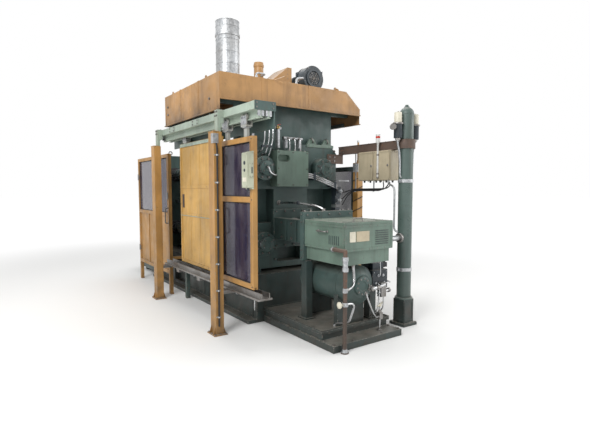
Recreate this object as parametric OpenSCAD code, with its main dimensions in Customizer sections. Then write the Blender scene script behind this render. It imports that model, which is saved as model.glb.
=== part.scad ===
// Horizontal cold chamber die casting machine, seen lengthwise along Y.
// The shot end is at -Y, the clamp end at +Y, and the operator's doors are at -X.
// The origin is on the floor, on the centre line, in the plane of the hood's front face.

/* [Platens] */
// Width of each platen
platen_w = 1450; // [1380:10:1480]
// Height of each platen
platen_h = 1500; // [1440:10:1540]
// Thickness of the fixed platen
fixed_t = 350; // [300:10:380]
// Thickness of the moving and the rear platens
moving_t = 300; // [260:10:340]
// Height of the die centre above the floor
die_z = 1350; // [1330:5:1370]
// Distance between the die faces as the machine stands
daylight = 1000; // [900:10:1050]

/* [Tie bars] */
// Distance between tie bar centres, both ways
bar_pitch = 880; // [860:10:900]
// Diameter of a tie bar
bar_d = 160; // [140:5:170]
// Diameter of the nuts in front of the fixed platen
nut_d = 280; // [260:5:300]

/* [Toggle] */
// Diameter of the main toggle pins
pin_d = 90; // [80:2:100]
// Diameter of the closing cylinder's rod
rod_d = 110; // [90:5:130]
// Outer diameter of the closing cylinder
barrel_d = 300; // [260:10:340]

/* [Shot end] */
// Height of the shot cylinder's axis above the floor
shot_z = 1080; // [1060:5:1100]
// Outer diameter of the shot cylinder
shot_d = 230; // [200:5:240]
// Diameter of the plunger tip
tip_d = 90; // [70:5:100]
// Outer diameter of the shot sleeve
sleeve_d = 150; // [130:5:156]
// Width of the sheet cover over the shot cylinder
cover_w = 660; // [620:10:700]
// Diameter of the oil vessel that lies under the shot cylinder
vessel_d = 400; // [340:10:420]

/* [Doors] */
// Length of the windowed door leaf
leaf_a_l = 730; // [700:10:760]
// Length of the sheet door leaf
leaf_b_l = 1250; // [1200:10:1300]
// Height of the door leaves' lower edge above the floor
leaf_bottom = 560; // [550:5:600]
// Diameter of a trolley wheel
wheel_d = 60; // [50:2:64]

/* [Hood] */
// Length of the fume hood along the machine
hood_l = 1700; // [1650:10:1750]
// Height of the hood's top above the floor
hood_top = 2800; // [2780:10:2850]
// Outer diameter of the exhaust duct
duct_d = 260; // [220:5:280]
// Length of the duct that stands on the hood
duct_l = 600; // [520:10:700]

/* [Accumulator] */
// Outer diameter of the tall accumulator
column_d = 160; // [140:5:180]
// Height of its top above the floor
column_top = 2460; // [2440:10:2500]

/* [Hidden] */
$fn = 64;

// Clearances and the sheet and tube sizes used in many places
run_c = 0.5;
thread_bite = 0.5;
cheek_c = 6;
cut = 1;
sheet = 4;
tube = 50;
pane_t = 6;

// Platens and the bed under them
fixed_y = 120;
toggle_gap = 1130;
bed_over = 250;
foot_h = 40;
foot_x = 430;
way_h = 20;
way_w = 120;
way_x = 410;
way_before = 400;
shoe_w = 180;
platen_cut = 90;
die_y = fixed_y + fixed_t;
moving_y = die_y + daylight;
moving_back = moving_y + moving_t;
rear_y = moving_back + toggle_gap;
rear_back = rear_y + moving_t;
platen_z = die_z - platen_h / 2;
platen_top = platen_z + platen_h;
bed_top = platen_z - foot_h;
bed_l = rear_back + bed_over;
bed_flange_w = 1360;
bed_flange_h = 40;
bed_body_w = 1120;
bed_plate_w = 1280;
bed_plate_h = 60;
bed_pockets = 5;
bed_pocket_l = 480;
bed_pocket_depth = 70;
bed_pitch = bed_l / bed_pockets;
anchor_d = 28;
anchor_in = 60;
anchor_end = 300;

// Threaded die holes, ejector holes and cored pockets
die_hole_x = 321;
die_hole_z = [240, 620];
die_hole_d = 26;
die_hole_depth = 60;
eject_x = 214;
eject_z = 200;
eject_d = 60;
core_depth = 170;

// Toggle, with heights measured from the die centre
eye_wall = 30;
waist_in = 12;
small_pin_d = 60;
small_eye_wall = 25;
lug_reach = 120;
hinge_z = 500;
knee_z = 153;
knee_back = 414;
elbow = 0.6;
cross_pin_z = 100;
cross_pin_back = 28;
inner_x = 150;
link_gap = 5;
outer_link_t = 55;
mid_link_t = 80;
eye_r = pin_d / 2 + eye_wall;
small_eye_r = small_pin_d / 2 + small_eye_wall;
front_pin_y = moving_back + lug_reach;
rear_pin_y = rear_y - lug_reach;
knee_y = rear_pin_y - knee_back;
elbow_y = rear_pin_y - elbow * knee_back;
elbow_z = hinge_z - elbow * (hinge_z - knee_z);
cross_pin_y = elbow_y + cross_pin_back;
mid_x = inner_x + outer_link_t + link_gap;
out_x = mid_x + mid_link_t + link_gap;
pin_end_x = out_x + outer_link_t;
cross_l = 120;
cross_h = 300;
cross_y = cross_pin_y - cross_l / 2;
guide_x = 420;
guide_d = 60;
guide_over = 250;
rod_in = 200;

// Closing cylinder and the die height drive
flange_d = 460;
flange_t = 60;
barrel_l = 760;
cap_over = 70;
cap_t = 100;
gear_d = 330;
gear_t = 110;
ring_t = 40;
ring_wall = 70;
mesh_gap = 2;
bar_front = 160;
bar_behind = 260;

// Shot unit along Y
shot_end_y = -1250;
cover_l = 630;
cover_over = 10;
cover_step_z = 135;
cover_step = 25;
yoke_t = 60;
yoke_edge = 20;
shot_cap_d = shot_d + 50;
cap_front_l = 60;
shot_barrel_l = 420;
cap_back_l = 80;
cover_y1 = shot_end_y + cover_l;
cover_top = shot_z + shot_cap_d / 2 + cover_over;
cover_bottom = shot_z - 270;
frame_plate_t = 60;
frame_plate_h = 460;
frame_plate_w = bar_pitch - nut_d - 20;
arm_t = 90;
arm_h = 240;
arm_in = frame_plate_w / 2 - arm_t - 10;
sleeve_back = -230;
shot_rod_d = 70;
shot_base_w = 900;
shot_base_top = 160;
base_step = 20;
plate_h = 70;
block_back = 200;
stand_top = 300;
pillar_w = 80;
vessel_gap = 10;
vessel_l = 840;
vessel_in = 60;
vessel_z = cover_bottom - yoke_edge - vessel_gap - vessel_d / 2;
vessel_x = pillar_w + vessel_gap + vessel_d / 2 - cover_w / 2;
vessel_y = shot_end_y + vessel_in;
dish = 60;

// Pilot manifold beside the vessel
pilot_w = 220;
pilot_l = 300;
pilot_h = 200;
pilot_x = vessel_x + vessel_d / 2 + 2 * vessel_gap;
pilot_y = shot_end_y + 130;
pilot_z = vessel_z - 80;

// Across the machine, from the platens outwards
upright_gap = 15;
upright_w = 55;
rail_gap = 5;
rail_w = 220;
track_in = 65;
track_pitch = 85;
post_gap = 35;
post_w = 95;
upright_x = platen_w / 2 + upright_gap;
rail_in = upright_x + upright_w + rail_gap;
rail_out = rail_in + rail_w;
track_b_x = -(rail_in + track_in);
track_a_x = track_b_x - track_pitch;
post_in = rail_out + post_gap;
post_out = post_in + post_w;
guard_x = rail_in + 70;
far_post_x = rail_in + 160;
far_post_w = 90;
far_post_top = 1890;

// Door rail, its tracks and the leaves
rail_z1 = 2370;
rail_h = 80;
rail_z0 = rail_z1 - rail_h;
rail_y0 = -770;
rail_y1 = hood_l + 200;
fascia_h = 170;
fascia_t = 8;
track_web = 10;
track_foot_w = 40;
track_foot_t = 10;
wheel_over = 6;
track_h = track_foot_t + wheel_d + wheel_over;
track_foot_z = rail_z0 - track_h;
leaf_a_y = -650;
leaf_a_drop = 230;
leaf_a_top = rail_z0 - leaf_a_drop;
leaf_b_y = 240;
leaf_b_drop = 140;
leaf_b_top = rail_z0 - leaf_b_drop;
leaf_b_t = 40;
crossbar_z = 1420;
groove_w = 22;
groove_h = 20;
fin_t = 10;
fin_c = 20;
guide_plate_h = 20;
post_l = 130;
post_front_y = -155;
post_rear_y = hood_l + 60;
post_top = 2140;
guard_z = 300;
guard_mid = 1150;
guard_y = post_rear_y + post_l + 60;
tie_h = 40;
tie_z = bed_top - 50;

// Hood
hood_x0 = -1000;
hood_w = 2030;
hood_hip_w = 240;
hood_hip_h = 200;
hood_side_h = 400;
hood_front_h = 290;
hood_lip = 18;
hood_lip_h = 12;
duct_x = -800;
duct_y = 200;
duct_wall = 2;
hood_x1 = hood_x0 + hood_w;
hood_side_z = hood_top - hood_side_h;
hood_front_z = hood_top - hood_front_h;
beam_up = 10;
hood_beam = 60;
front_beam_y = 230;
rear_beam_y = hood_l - 140;

// Accumulator and the beam that steadies it
column_x = platen_w / 2 + 75;
column_y = -1000;
service_h = 100;
service_w = 60;
service_z = platen_top - service_h;
collar = 20;
pipe_d = 60;
pipe_z = shot_z - 80;
block_x = 280;

// Oil tank behind the bed
tank_gap = 60;
tank_w = 1200;
tank_l = 850;
tank_top = 650;
tank_y = bed_l + tank_gap;

// A box given by two opposite corners.
module span(a, b) {
    low = [for (i = [0 : 2]) min(a[i], b[i])];
    high = [for (i = [0 : 2]) max(a[i], b[i])];
    translate(low) cube(high - low);
}

// A cylinder along Y between two places.
module y_rod(x, z, y0, y1, d) {
    translate([x, y0, z]) rotate([-90, 0, 0]) cylinder(h = y1 - y0, d = d);
}

// A cylinder along X between two places.
module x_rod(y, z, x0, x1, d) {
    translate([x0, y, z]) rotate([0, 90, 0]) cylinder(h = x1 - x0, d = d);
}

// Its children at the four tie bar centres.
module at_bars() {
    for (x = [-bar_pitch / 2, bar_pitch / 2])
        for (z = [die_z - bar_pitch / 2, die_z + bar_pitch / 2])
            translate([x, 0, z]) children();
}

// Its children on both sides of the centre plane.
module both_sides() {
    children();
    mirror([1, 0, 0]) children();
}

// Its children above and below the die centre, with heights measured from that centre.
module above_and_below() {
    translate([0, 0, die_z]) children();
    translate([0, 0, die_z]) mirror([0, 0, 1]) children();
}

// A flat shape in the YZ plane, as a plate from x0 to x1.
module across(x0, x1) {
    translate([x0, 0, 0]) rotate([90, 0, 90]) linear_extrude(height = x1 - x0) children();
}

// A flat shape in the XZ plane, as a plate from y0 to y1.
module along(y0, y1) {
    translate([0, y1, 0]) rotate([90, 0, 0]) linear_extrude(height = y1 - y0) children();
}

// A platen's body with cut corners, from y to y + t.
module platen_plate(y, t) {
    w = platen_w / 2;
    h = platen_h / 2;
    c = platen_cut;
    along(y, y + t) translate([0, die_z]) polygon([
        [-w + c, -h], [w - c, -h], [w, -h + c], [w, h - c],
        [w - c, h], [-w + c, h], [-w, h - c], [-w, -h + c]
    ]);
}

// The threaded holes of a die face at y, bored in the direction dir along Y.
module die_holes(y, dir) {
    start = min(y - dir * cut, y + dir * die_hole_depth);
    for (x = [-die_hole_x, die_hole_x]) for (up = die_hole_z) for (s = [-1, 1])
        y_rod(x, die_z + s * up, start, start + die_hole_depth + cut, die_hole_d);
}

module bed() {
    body_top = bed_top - bed_plate_h;
    x0 = bed_body_w / 2 - bed_pocket_depth;
    anchor_x = bed_flange_w / 2 - anchor_in;
    color("#3f5a4b") difference() {
        union() {
            span([-bed_flange_w / 2, 0, 0], [bed_flange_w / 2, bed_l, bed_flange_h]);
            span([-bed_body_w / 2, 0, 0], [bed_body_w / 2, bed_l, bed_top]);
            span([-bed_plate_w / 2, 0, body_top], [bed_plate_w / 2, bed_l, bed_top]);
        }
        both_sides() for (i = [0 : bed_pockets - 1]) {
            y = (i + 0.5) * bed_pitch - bed_pocket_l / 2;
            span([x0, y, 2 * bed_flange_h],
                 [bed_body_w / 2 + cut, y + bed_pocket_l, body_top - bed_flange_h]);
        }
        for (x = [-anchor_x, anchor_x])
            for (y = [anchor_end, bed_l - anchor_end])
                translate([x, y, -cut]) cylinder(h = bed_flange_h + 2 * cut, d = anchor_d);
    }
}

module way_strips() {
    color("#8f9294") both_sides()
        span([way_x - way_w / 2, moving_y - way_before, bed_top],
             [way_x + way_w / 2, bed_l, bed_top + way_h]);
}

// A low plate, and a block set back on it that carries the shot unit.
module shot_base() {
    w = shot_base_w / 2;
    top_t = 30;
    y = shot_end_y - base_step;
    color("#3a4f4a") {
        span([-w - base_step, y, 0], [w + base_step, 0, plate_h]);
        span([-w, y + block_back, plate_h], [w, 0, shot_base_top - top_t]);
        span([-w - base_step, y + block_back - base_step, shot_base_top - top_t],
             [w + base_step, 0, shot_base_top]);
    }
}

module fixed_platen() {
    y0 = fixed_y - cut;
    y1 = fixed_y + core_depth;
    side_core = [250, 650, 200];
    top_core = [60, 270, 400, 670];
    low_core = [200, 70, 180];
    color("#41665a") difference() {
        union() {
            platen_plate(fixed_y, fixed_t);
            both_sides() span([foot_x, fixed_y, bed_top],
                              [bed_plate_w / 2, die_y, platen_z + cut]);
        }
        die_holes(die_y, -1);
        at_bars() y_rod(0, 0, y0, die_y + cut, bar_d + 2 * run_c);
        y_rod(0, shot_z, y0, die_y + cut, sleeve_d + 2 * run_c);
        both_sides() span([side_core[0], y0, die_z - side_core[2]],
                          [side_core[1], y1, die_z + side_core[2]]);
        both_sides() span([top_core[0], y0, die_z + top_core[2]],
                          [top_core[1], y1, die_z + top_core[3]]);
        span([-low_core[0], y0, platen_z + low_core[1]], [low_core[0], y1, shot_z - low_core[2]]);
    }
}

// An eye plate with its root on the platen face at face_y, for the pin at pin_y.
module lug(pin_y, face_y, x0, x1) {
    across(x0, x1) difference() {
        union() {
            translate([pin_y, hinge_z]) circle(r = eye_r);
            translate([min(pin_y, face_y), hinge_z - eye_r + waist_in])
                square([abs(face_y - pin_y), 2 * (eye_r - waist_in)]);
        }
        translate([pin_y, hinge_z]) circle(d = pin_d + 2 * run_c);
    }
}

// A platen on shoes that stand on the way strips, without its lugs and slots.
module shod_platen(y) {
    platen_plate(y, moving_t);
    both_sides() span([way_x - shoe_w / 2, y, bed_top + way_h],
                      [way_x + shoe_w / 2, y + moving_t, platen_z + cut]);
}

module moving_platen() {
    color("#41665a") {
        difference() {
            shod_platen(moving_y);
            die_holes(moving_y, 1);
            at_bars() y_rod(0, 0, moving_y - cut, moving_back + cut, bar_d + 2 * run_c);
            for (x = [-eject_x, eject_x]) for (z = [die_z - eject_z, die_z + eject_z])
                y_rod(x, z, moving_y - cut, moving_back + cut, eject_d);
        }
        above_and_below() both_sides()
            lug(front_pin_y, moving_back, mid_x, mid_x + mid_link_t);
    }
}

module rear_platen() {
    color("#41665a") {
        difference() {
            shod_platen(rear_y);
            at_bars() y_rod(0, 0, rear_y - cut, rear_back + cut, bar_d + 2 * run_c);
            y_rod(0, die_z, rear_y - cut, rear_back + cut, rod_d + 4 * run_c);
        }
        above_and_below() both_sides() {
            lug(rear_pin_y, rear_y, inner_x, inner_x + outer_link_t);
            lug(rear_pin_y, rear_y, out_x, pin_end_x);
        }
    }
}

module tie_bars() {
    color("#a9adb0") at_bars()
        y_rod(0, 0, fixed_y - bar_front, rear_back + bar_behind, bar_d);
}

// A nut pressed over a tie bar, from y0 to y1.
module nut(y0, y1, d) {
    difference() {
        y_rod(0, 0, y0, y1, d);
        y_rod(0, 0, y0 - cut, y1 + cut, bar_d - 2 * thread_bite);
    }
}

module tie_bar_nuts() {
    color("#5f6668") at_bars() {
        nut(fixed_y - bar_front + tube - 10, fixed_y, nut_d);
        nut(rear_back, rear_back + gear_t, gear_d);
    }
}

module die_height_drive() {
    outer = bar_pitch * sqrt(2) - gear_d - 2 * mesh_gap;
    motor_z = platen_top - 150;
    motor_d = 170;
    motor_l = 260;
    tail_l = 160;
    color("#7b8082") difference() {
        y_rod(0, die_z, rear_back, rear_back + ring_t, outer);
        y_rod(0, die_z, rear_back - cut, rear_back + ring_t + cut, outer - 2 * ring_wall);
    }
    color("#30454a") {
        y_rod(0, motor_z, rear_back, rear_back + motor_l, motor_d);
        y_rod(0, motor_z, rear_back + motor_l, rear_back + motor_l + tail_l, motor_d - 30);
    }
}

// One toggle link as a plate across X, from eye p to eye q, both of one radius and pin size.
module link_plate(p, q, eye, pin, x0, x1) {
    reach = norm(q - p);
    lean = atan2(q[1] - p[1], q[0] - p[0]);
    across(x0, x1) difference() {
        union() {
            translate(p) circle(r = eye);
            translate(q) circle(r = eye);
            translate(p) rotate(lean) translate([0, waist_in - eye])
                square([reach, 2 * (eye - waist_in)]);
        }
        translate(p) circle(d = pin + 2 * run_c);
        translate(q) circle(d = pin + 2 * run_c);
    }
}

module toggle_links() {
    moving_pin = [front_pin_y, hinge_z];
    rear_pin = [rear_pin_y, hinge_z];
    knee = [knee_y, knee_z];
    elbow_pin = [elbow_y, elbow_z];
    cross_pin = [cross_pin_y, cross_pin_z];
    mid_end = mid_x + mid_link_t;
    color("#4c6f62") above_and_below() both_sides() {
        link_plate(moving_pin, knee, eye_r, pin_d, inner_x, inner_x + outer_link_t);
        link_plate(moving_pin, knee, eye_r, pin_d, out_x, pin_end_x);
        difference() {
            link_plate(rear_pin, knee, eye_r, pin_d, mid_x, mid_end);
            x_rod(elbow_y, elbow_z, mid_x - cut, mid_end + cut, small_pin_d + 2 * run_c);
        }
        link_plate(elbow_pin, cross_pin, small_eye_r, small_pin_d, out_x, pin_end_x);
    }
}

module toggle_pins() {
    color("#b3b6b8") above_and_below() both_sides() {
        x_rod(front_pin_y, hinge_z, inner_x, pin_end_x, pin_d);
        x_rod(rear_pin_y, hinge_z, inner_x, pin_end_x, pin_d);
        x_rod(knee_y, knee_z, inner_x, pin_end_x, pin_d);
        x_rod(elbow_y, elbow_z, mid_x, pin_end_x, small_pin_d);
        x_rod(cross_pin_y, cross_pin_z, mid_x, pin_end_x, small_pin_d);
    }
}

module crosshead() {
    w = out_x - link_gap;
    wing = guide_x + guide_d;
    wing_h = 80;
    y1 = cross_y + cross_l;
    color("#4c6f62") difference() {
        union() {
            span([-w, cross_y, die_z - cross_h / 2], [w, y1, die_z + cross_h / 2]);
            span([-wing, cross_y, die_z - wing_h / 2], [wing, y1, die_z + wing_h / 2]);
        }
        both_sides() y_rod(guide_x, die_z, cross_y - cut, y1 + cut, guide_d + 2 * run_c);
        above_and_below() both_sides()
            x_rod(cross_pin_y, cross_pin_z, mid_x, w + cut, small_pin_d + 2 * run_c);
    }
}

module guide_bars() {
    color("#b3b6b8") both_sides()
        y_rod(guide_x, die_z, cross_y - guide_over, rear_y, guide_d);
}

module ejector_unit() {
    y1 = moving_back + 190;
    plate_t = 40;
    plate_w = 500;
    plate_h = 460;
    color("#30454a") {
        for (x = [-90, 90]) y_rod(x, die_z, moving_back, y1, 110);
        span([-plate_w / 2, y1, die_z - plate_h / 2],
             [plate_w / 2, y1 + plate_t, die_z + plate_h / 2]);
        y_rod(0, die_z, y1 + plate_t, y1 + plate_t + 160, 90);
    }
}

module closing_cylinder() {
    y1 = rear_back + flange_t;
    y2 = y1 + barrel_l;
    color("#41665a") difference() {
        union() {
            y_rod(0, die_z, rear_back, y1, flange_d);
            y_rod(0, die_z, y1, y2, barrel_d);
            y_rod(0, die_z, y2, y2 + cap_t, barrel_d + cap_over);
        }
        y_rod(0, die_z, rear_back - cut, y1 + rod_in, rod_d + 2 * run_c);
    }
}

module closing_rod() {
    color("#b3b6b8")
        y_rod(0, die_z, cross_y + cross_l, rear_back + flange_t + rod_in, rod_d);
}

module shot_frame() {
    w = cover_w / 2 + yoke_edge;
    pw = frame_plate_w / 2;
    plate_y = fixed_y - frame_plate_t;
    yoke_y = cover_y1 + yoke_t;
    color("#47705f") difference() {
        union() {
            span([-pw, plate_y, shot_z - frame_plate_h / 2],
                 [pw, fixed_y, shot_z + frame_plate_h / 2]);
            both_sides() span([arm_in, cover_y1, shot_z - arm_h / 2],
                              [arm_in + arm_t, fixed_y, shot_z + arm_h / 2]);
            span([-w, cover_y1, cover_bottom - yoke_edge], [w, yoke_y, cover_top + 4 * yoke_edge]);
        }
        y_rod(0, shot_z, plate_y - cut, fixed_y + cut, sleeve_d + 2 * run_c);
        y_rod(0, shot_z, cover_y1 - cut, yoke_y + cut, shot_rod_d + 2 * run_c);
    }
}

// Pillars under the yoke, saddles under the vessel and a leg under the pilot manifold.
module shot_supports() {
    x1 = cover_w / 2;
    saddle_w = vessel_d - 40;
    saddle_t = 60;
    saddle_in = 160;
    leg = 90;
    color("#3a4f4a") {
        both_sides() span([x1 - pillar_w, cover_y1 - yoke_t / 2, shot_base_top],
                          [x1, cover_y1 + yoke_t, cover_bottom - yoke_edge]);
        for (y = [vessel_y + saddle_in, vessel_y + vessel_l - saddle_in]) difference() {
            span([vessel_x - saddle_w / 2, y, shot_base_top],
                 [vessel_x + saddle_w / 2, y + saddle_t, vessel_z - vessel_d / 8]);
            y_rod(vessel_x, vessel_z, y - cut, y + saddle_t + cut, vessel_d);
        }
        translate([pilot_x + pilot_w / 2, pilot_y + pilot_l / 2, shot_base_top])
            span([-leg / 2, -leg / 2, 0], [leg / 2, leg / 2, pilot_z - shot_base_top]);
    }
}

// A manifold with a stack of valves beside the vessel.
module pilot_manifold() {
    stack = 70;
    inset = 40;
    color("#2f3f44") {
        span([pilot_x, pilot_y, pilot_z], [pilot_x + pilot_w, pilot_y + pilot_l, pilot_z + pilot_h]);
        for (i = [0 : 1])
            span([pilot_x + inset, pilot_y + inset + i * (stack + inset), pilot_z + pilot_h],
                 [pilot_x + pilot_w - inset / 2, pilot_y + inset + stack + i * (stack + inset),
                  pilot_z + pilot_h + stack]);
    }
}

module shot_cylinder() {
    y1 = cover_y1 - cap_front_l;
    y0 = y1 - shot_barrel_l;
    color("#47705f") {
        y_rod(0, shot_z, y1, cover_y1, shot_cap_d);
        y_rod(0, shot_z, y0, y1, shot_d);
        y_rod(0, shot_z, y0 - cap_back_l, y0, shot_cap_d);
    }
}

module plunger_rod() {
    neck = 20;
    coupling_l = 80;
    coupling_d = 110;
    tip_l = 60;
    y1 = sleeve_back - neck / 2;
    color("#b3b6b8") {
        y_rod(0, shot_z, cover_y1, y1 - neck - coupling_l, shot_rod_d);
        y_rod(0, shot_z, y1 - neck - coupling_l, y1 - neck, coupling_d);
        y_rod(0, shot_z, y1 - neck, y1, tip_d / 2);
        y_rod(0, shot_z, y1, y1 + tip_l, tip_d);
    }
}

module shot_sleeve() {
    hole_w = 80;
    hole_l = 130;
    hole_y = sleeve_back + 60;
    color("#77797a") difference() {
        y_rod(0, shot_z, sleeve_back, die_y, sleeve_d);
        y_rod(0, shot_z, sleeve_back - cut, die_y + cut, tip_d + 2 * run_c);
        span([-hole_w / 2, hole_y, shot_z], [hole_w / 2, hole_y + hole_l, shot_z + sleeve_d]);
    }
}

module shot_valve_block() {
    y0 = column_y - 60;
    y1 = y0 + 300;
    top_x = [100, 260];
    color("#2f3f44") difference() {
        union() {
            span([80, y0, shot_z - 140], [block_x, y1, shot_z + 80]);
            span([top_x[0], y0 + 20, shot_z + 80], [top_x[1], y0 + 160, shot_z + 130]);
        }
        y_rod(0, shot_z, y0 - cut, y1 + cut, shot_d);
    }
}

// A sheet box without its end at y1 and its bottom.
module hollow_box(w, y0, y1, z0, z1) {
    difference() {
        span([-w, y0, z0], [w, y1, z1]);
        span([-w + sheet, y0 + sheet, z0 - cut], [w - sheet, y1 + cut, z1 - sheet]);
    }
}

// The cover over the shot cylinder: a wide box with a skirt set in below it.
module shot_cover() {
    w = cover_w / 2;
    step_z = shot_z - cover_step_z;
    hole = pipe_d + 4 * sheet;
    color("#5f8573") difference() {
        union() {
            hollow_box(w, shot_end_y, cover_y1, step_z, cover_top);
            difference() {
                hollow_box(w - cover_step, shot_end_y + cover_step, cover_y1,
                           cover_bottom, step_z + sheet);
                span([-w + 2 * cover_step, shot_end_y + 2 * cover_step, step_z - cut],
                     [w - 2 * cover_step, cover_y1 + cut, step_z + 2 * sheet]);
            }
            difference() {
                span([-w, shot_end_y, step_z], [w, cover_y1, step_z + sheet]);
                span([-w + 2 * cover_step, shot_end_y + 2 * cover_step, step_z - cut],
                     [w - 2 * cover_step, cover_y1 + cut, step_z + 2 * sheet]);
            }
        }
        x_rod(column_y, pipe_z, w - 2 * cover_step, w + cut, hole);
    }
}

module oil_vessel() {
    end_d = vessel_d * 0.6;
    y1 = vessel_y + vessel_l;
    color("#4f7566") {
        y_rod(vessel_x, vessel_z, vessel_y + dish, y1 - dish, vessel_d);
        translate([vessel_x, vessel_y + dish, vessel_z]) rotate([90, 0, 0])
            cylinder(h = dish, d1 = vessel_d, d2 = end_d);
        translate([vessel_x, y1 - dish, vessel_z]) rotate([-90, 0, 0])
            cylinder(h = dish, d1 = vessel_d, d2 = end_d);
    }
}

// A casting on the fixed platen's face with an oval pocket in its front.
module platen_head_block() {
    near_x = 300;
    far_x = 150;
    low = 230;
    high = 650;
    x = [-near_x, far_x];
    z = [die_z + low, die_z + high];
    y0 = -40;
    pocket_up = 560;
    pocket_d = 80;
    pocket_near = 250;
    pocket_far = 160;
    pocket_z = die_z + pocket_up;
    pocket_x = [-pocket_near, -pocket_far];
    depth = 60;
    color("#6a8f7c") difference() {
        span([x[0], y0, z[0]], [x[1], fixed_y, z[1]]);
        for (at = pocket_x) y_rod(at, pocket_z, y0 - cut, y0 + depth, pocket_d);
        span([pocket_x[0], y0 - cut, pocket_z - pocket_d / 2],
             [pocket_x[1], y0 + depth, pocket_z + pocket_d / 2]);
    }
}

// Valve blocks for the core pulls, on the far edge of the fixed platen's face.
module core_pull_valves() {
    x1 = platen_w / 2;
    color("#2f3f44") {
        span([x1 - 75, 20, die_z + 110], [x1 + 5, fixed_y, die_z + 230]);
        for (z = [die_z - 150, die_z]) span([x1 - 75, 40, z], [x1 + 5, fixed_y, z + 110]);
    }
}

// Two water manifolds on feet before the fixed platen's upper edge.
module cooling_manifold() {
    d = 36;
    foot = 30;
    off = 40;
    long_x = [600, 170];
    long_up = 170;
    short_x = 140;
    short_up = 60;
    y = fixed_y - off;
    for (bar = [[-long_x[0], -long_x[1], long_up], [-short_x, short_x, short_up]])
        color("#9aa39e") {
            z = platen_top + bar[2];
            x_rod(y, z, bar[0], bar[1], d);
            for (at = [bar[0] + off, bar[1] - off])
                span([at - foot / 2, y - d / 2, platen_top - 2 * foot],
                     [at + foot / 2, fixed_y, z]);
        }
}

// A pipe with fittings that stands on the floor and bends back and into the cover's side.
module return_pipe() {
    d = 40;
    x = -cover_w / 2 - d;
    y0 = shot_end_y - 2 * base_step - d / 2;
    y1 = shot_end_y + 3 * d;
    z = shot_z - 110;
    foot_d = 76;
    foot_t = 12;
    collar_d = 56;
    collar_l = 34;
    color("#6b4a38") {
        translate([x, y0, 0]) cylinder(h = z, d = d);
        translate([x, y0, 0]) cylinder(h = foot_t, d = foot_d);
        for (at = [450, 780, 880]) translate([x, y0, at]) cylinder(h = collar_l, d = collar_d);
        translate([x, y0, z]) sphere(d = d);
        y_rod(x, z, y0, y1, d);
        translate([x, y1, z]) sphere(d = d);
        x_rod(y1, z, x, -cover_w / 2, d);
    }
}

module accumulator() {
    z = column_top - column_d / 2;
    color("#56806a") {
        translate([column_x, column_y, stand_top]) cylinder(h = z - stand_top, d = column_d);
        translate([column_x, column_y, z]) sphere(d = column_d);
    }
}

module accumulator_stand() {
    foot = 110;
    foot_t = 30;
    color("#3a4f4a") translate([column_x, column_y, 0]) {
        span([-foot, -foot, 0], [foot, foot, foot_t]);
        span([-column_d / 2, -column_d / 2, foot_t], [column_d / 2, column_d / 2, stand_top]);
    }
}

// A valve body with a bright ring and a pale cap on each side of the column.
module accumulator_valves() {
    reach = column_d / 2 + 60;
    arm = 20;
    z = service_z + 110;
    body_h = 150;
    ring_h = 15;
    color("#2f3f44") translate([column_x, column_y, 0]) difference() {
        union() {
            span([-reach, -arm, z + 40], [reach, arm, z + 40 + 2 * arm]);
            for (x = [-reach, reach]) translate([x, 0, z]) {
                cylinder(h = body_h, d = 90);
                translate([0, 0, body_h]) cylinder(h = ring_h, d = 110);
                translate([0, 0, body_h + ring_h]) cylinder(h = 110, d = 80);
            }
        }
        cylinder(h = column_top, d = column_d);
    }
}

module pressure_pipe() {
    color("#6e7c78") difference() {
        x_rod(column_y, pipe_z, block_x, column_x, pipe_d);
        translate([column_x, column_y, 0]) cylinder(h = column_top, d = column_d);
    }
}

module service_beam() {
    w = service_w / 2;
    bracket_h = 120;
    bracket_w = 260;
    bracket_t = 20;
    z1 = service_z + service_h;
    color("#6b4a38") difference() {
        union() {
            span([column_x - w, column_y, service_z], [column_x + w, fixed_y, z1]);
            translate([column_x, column_y, service_z])
                cylinder(h = service_h, d = column_d + 2 * collar);
            span([column_x + w - bracket_w, fixed_y - bracket_t, service_z - bracket_h],
                 [column_x + w, fixed_y, service_z]);
        }
        translate([column_x, column_y, service_z - cut])
            cylinder(h = service_h + 2 * cut, d = column_d);
    }
}

module terminal_box() {
    near_x = 60;
    far_x = 100;
    front_y = 820;
    back_y = 300;
    x = [column_x - near_x, column_x + far_x];
    y = [-front_y, -back_y];
    h = 350;
    seam = 5;
    inset = 10;
    mid = (y[0] + y[1]) / 2;
    z0 = service_z - h;
    color("#c9b48c") {
        span([x[0], y[0], z0], [x[1], mid - seam, service_z]);
        span([x[0], mid + seam, z0], [x[1], y[1], service_z]);
        span([x[0] + inset, mid - seam - cut, z0 + inset],
             [x[1] - inset, mid + seam + cut, service_z - inset]);
    }
}

module signal_lamp() {
    stem_d = 24;
    head_d = 50;
    off = 18;
    clip = 8;
    x = column_x - 60 - off;
    z0 = service_z - 320;
    z1 = service_z + 100;
    color("#c7cbcc") translate([x, -640, 0]) {
        translate([0, 0, z0]) cylinder(h = z1 - z0, d = stem_d);
        translate([0, 0, z1]) cylinder(h = 90, d = head_d);
        for (z = [z0 + 40, service_z - 60])
            span([0, -clip, z], [off, clip, z + 20]);
    }
}

// A track under the rail, as an upside down T.
module track(x) {
    span([x - track_web / 2, rail_y0, track_foot_z], [x + track_web / 2, rail_y1, rail_z0]);
    span([x - track_foot_w / 2, rail_y0, track_foot_z],
         [x + track_foot_w / 2, rail_y1, track_foot_z + track_foot_t]);
}

module door_rail() {
    color("#9db79b") {
        span([-rail_out, rail_y0, rail_z0], [-rail_in, rail_y1, rail_z1]);
        span([-rail_in - fascia_t, rail_y0, rail_z0 - fascia_h], [-rail_in, rail_y1, rail_z0]);
        track(track_a_x);
        track(track_b_x);
    }
}

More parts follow.
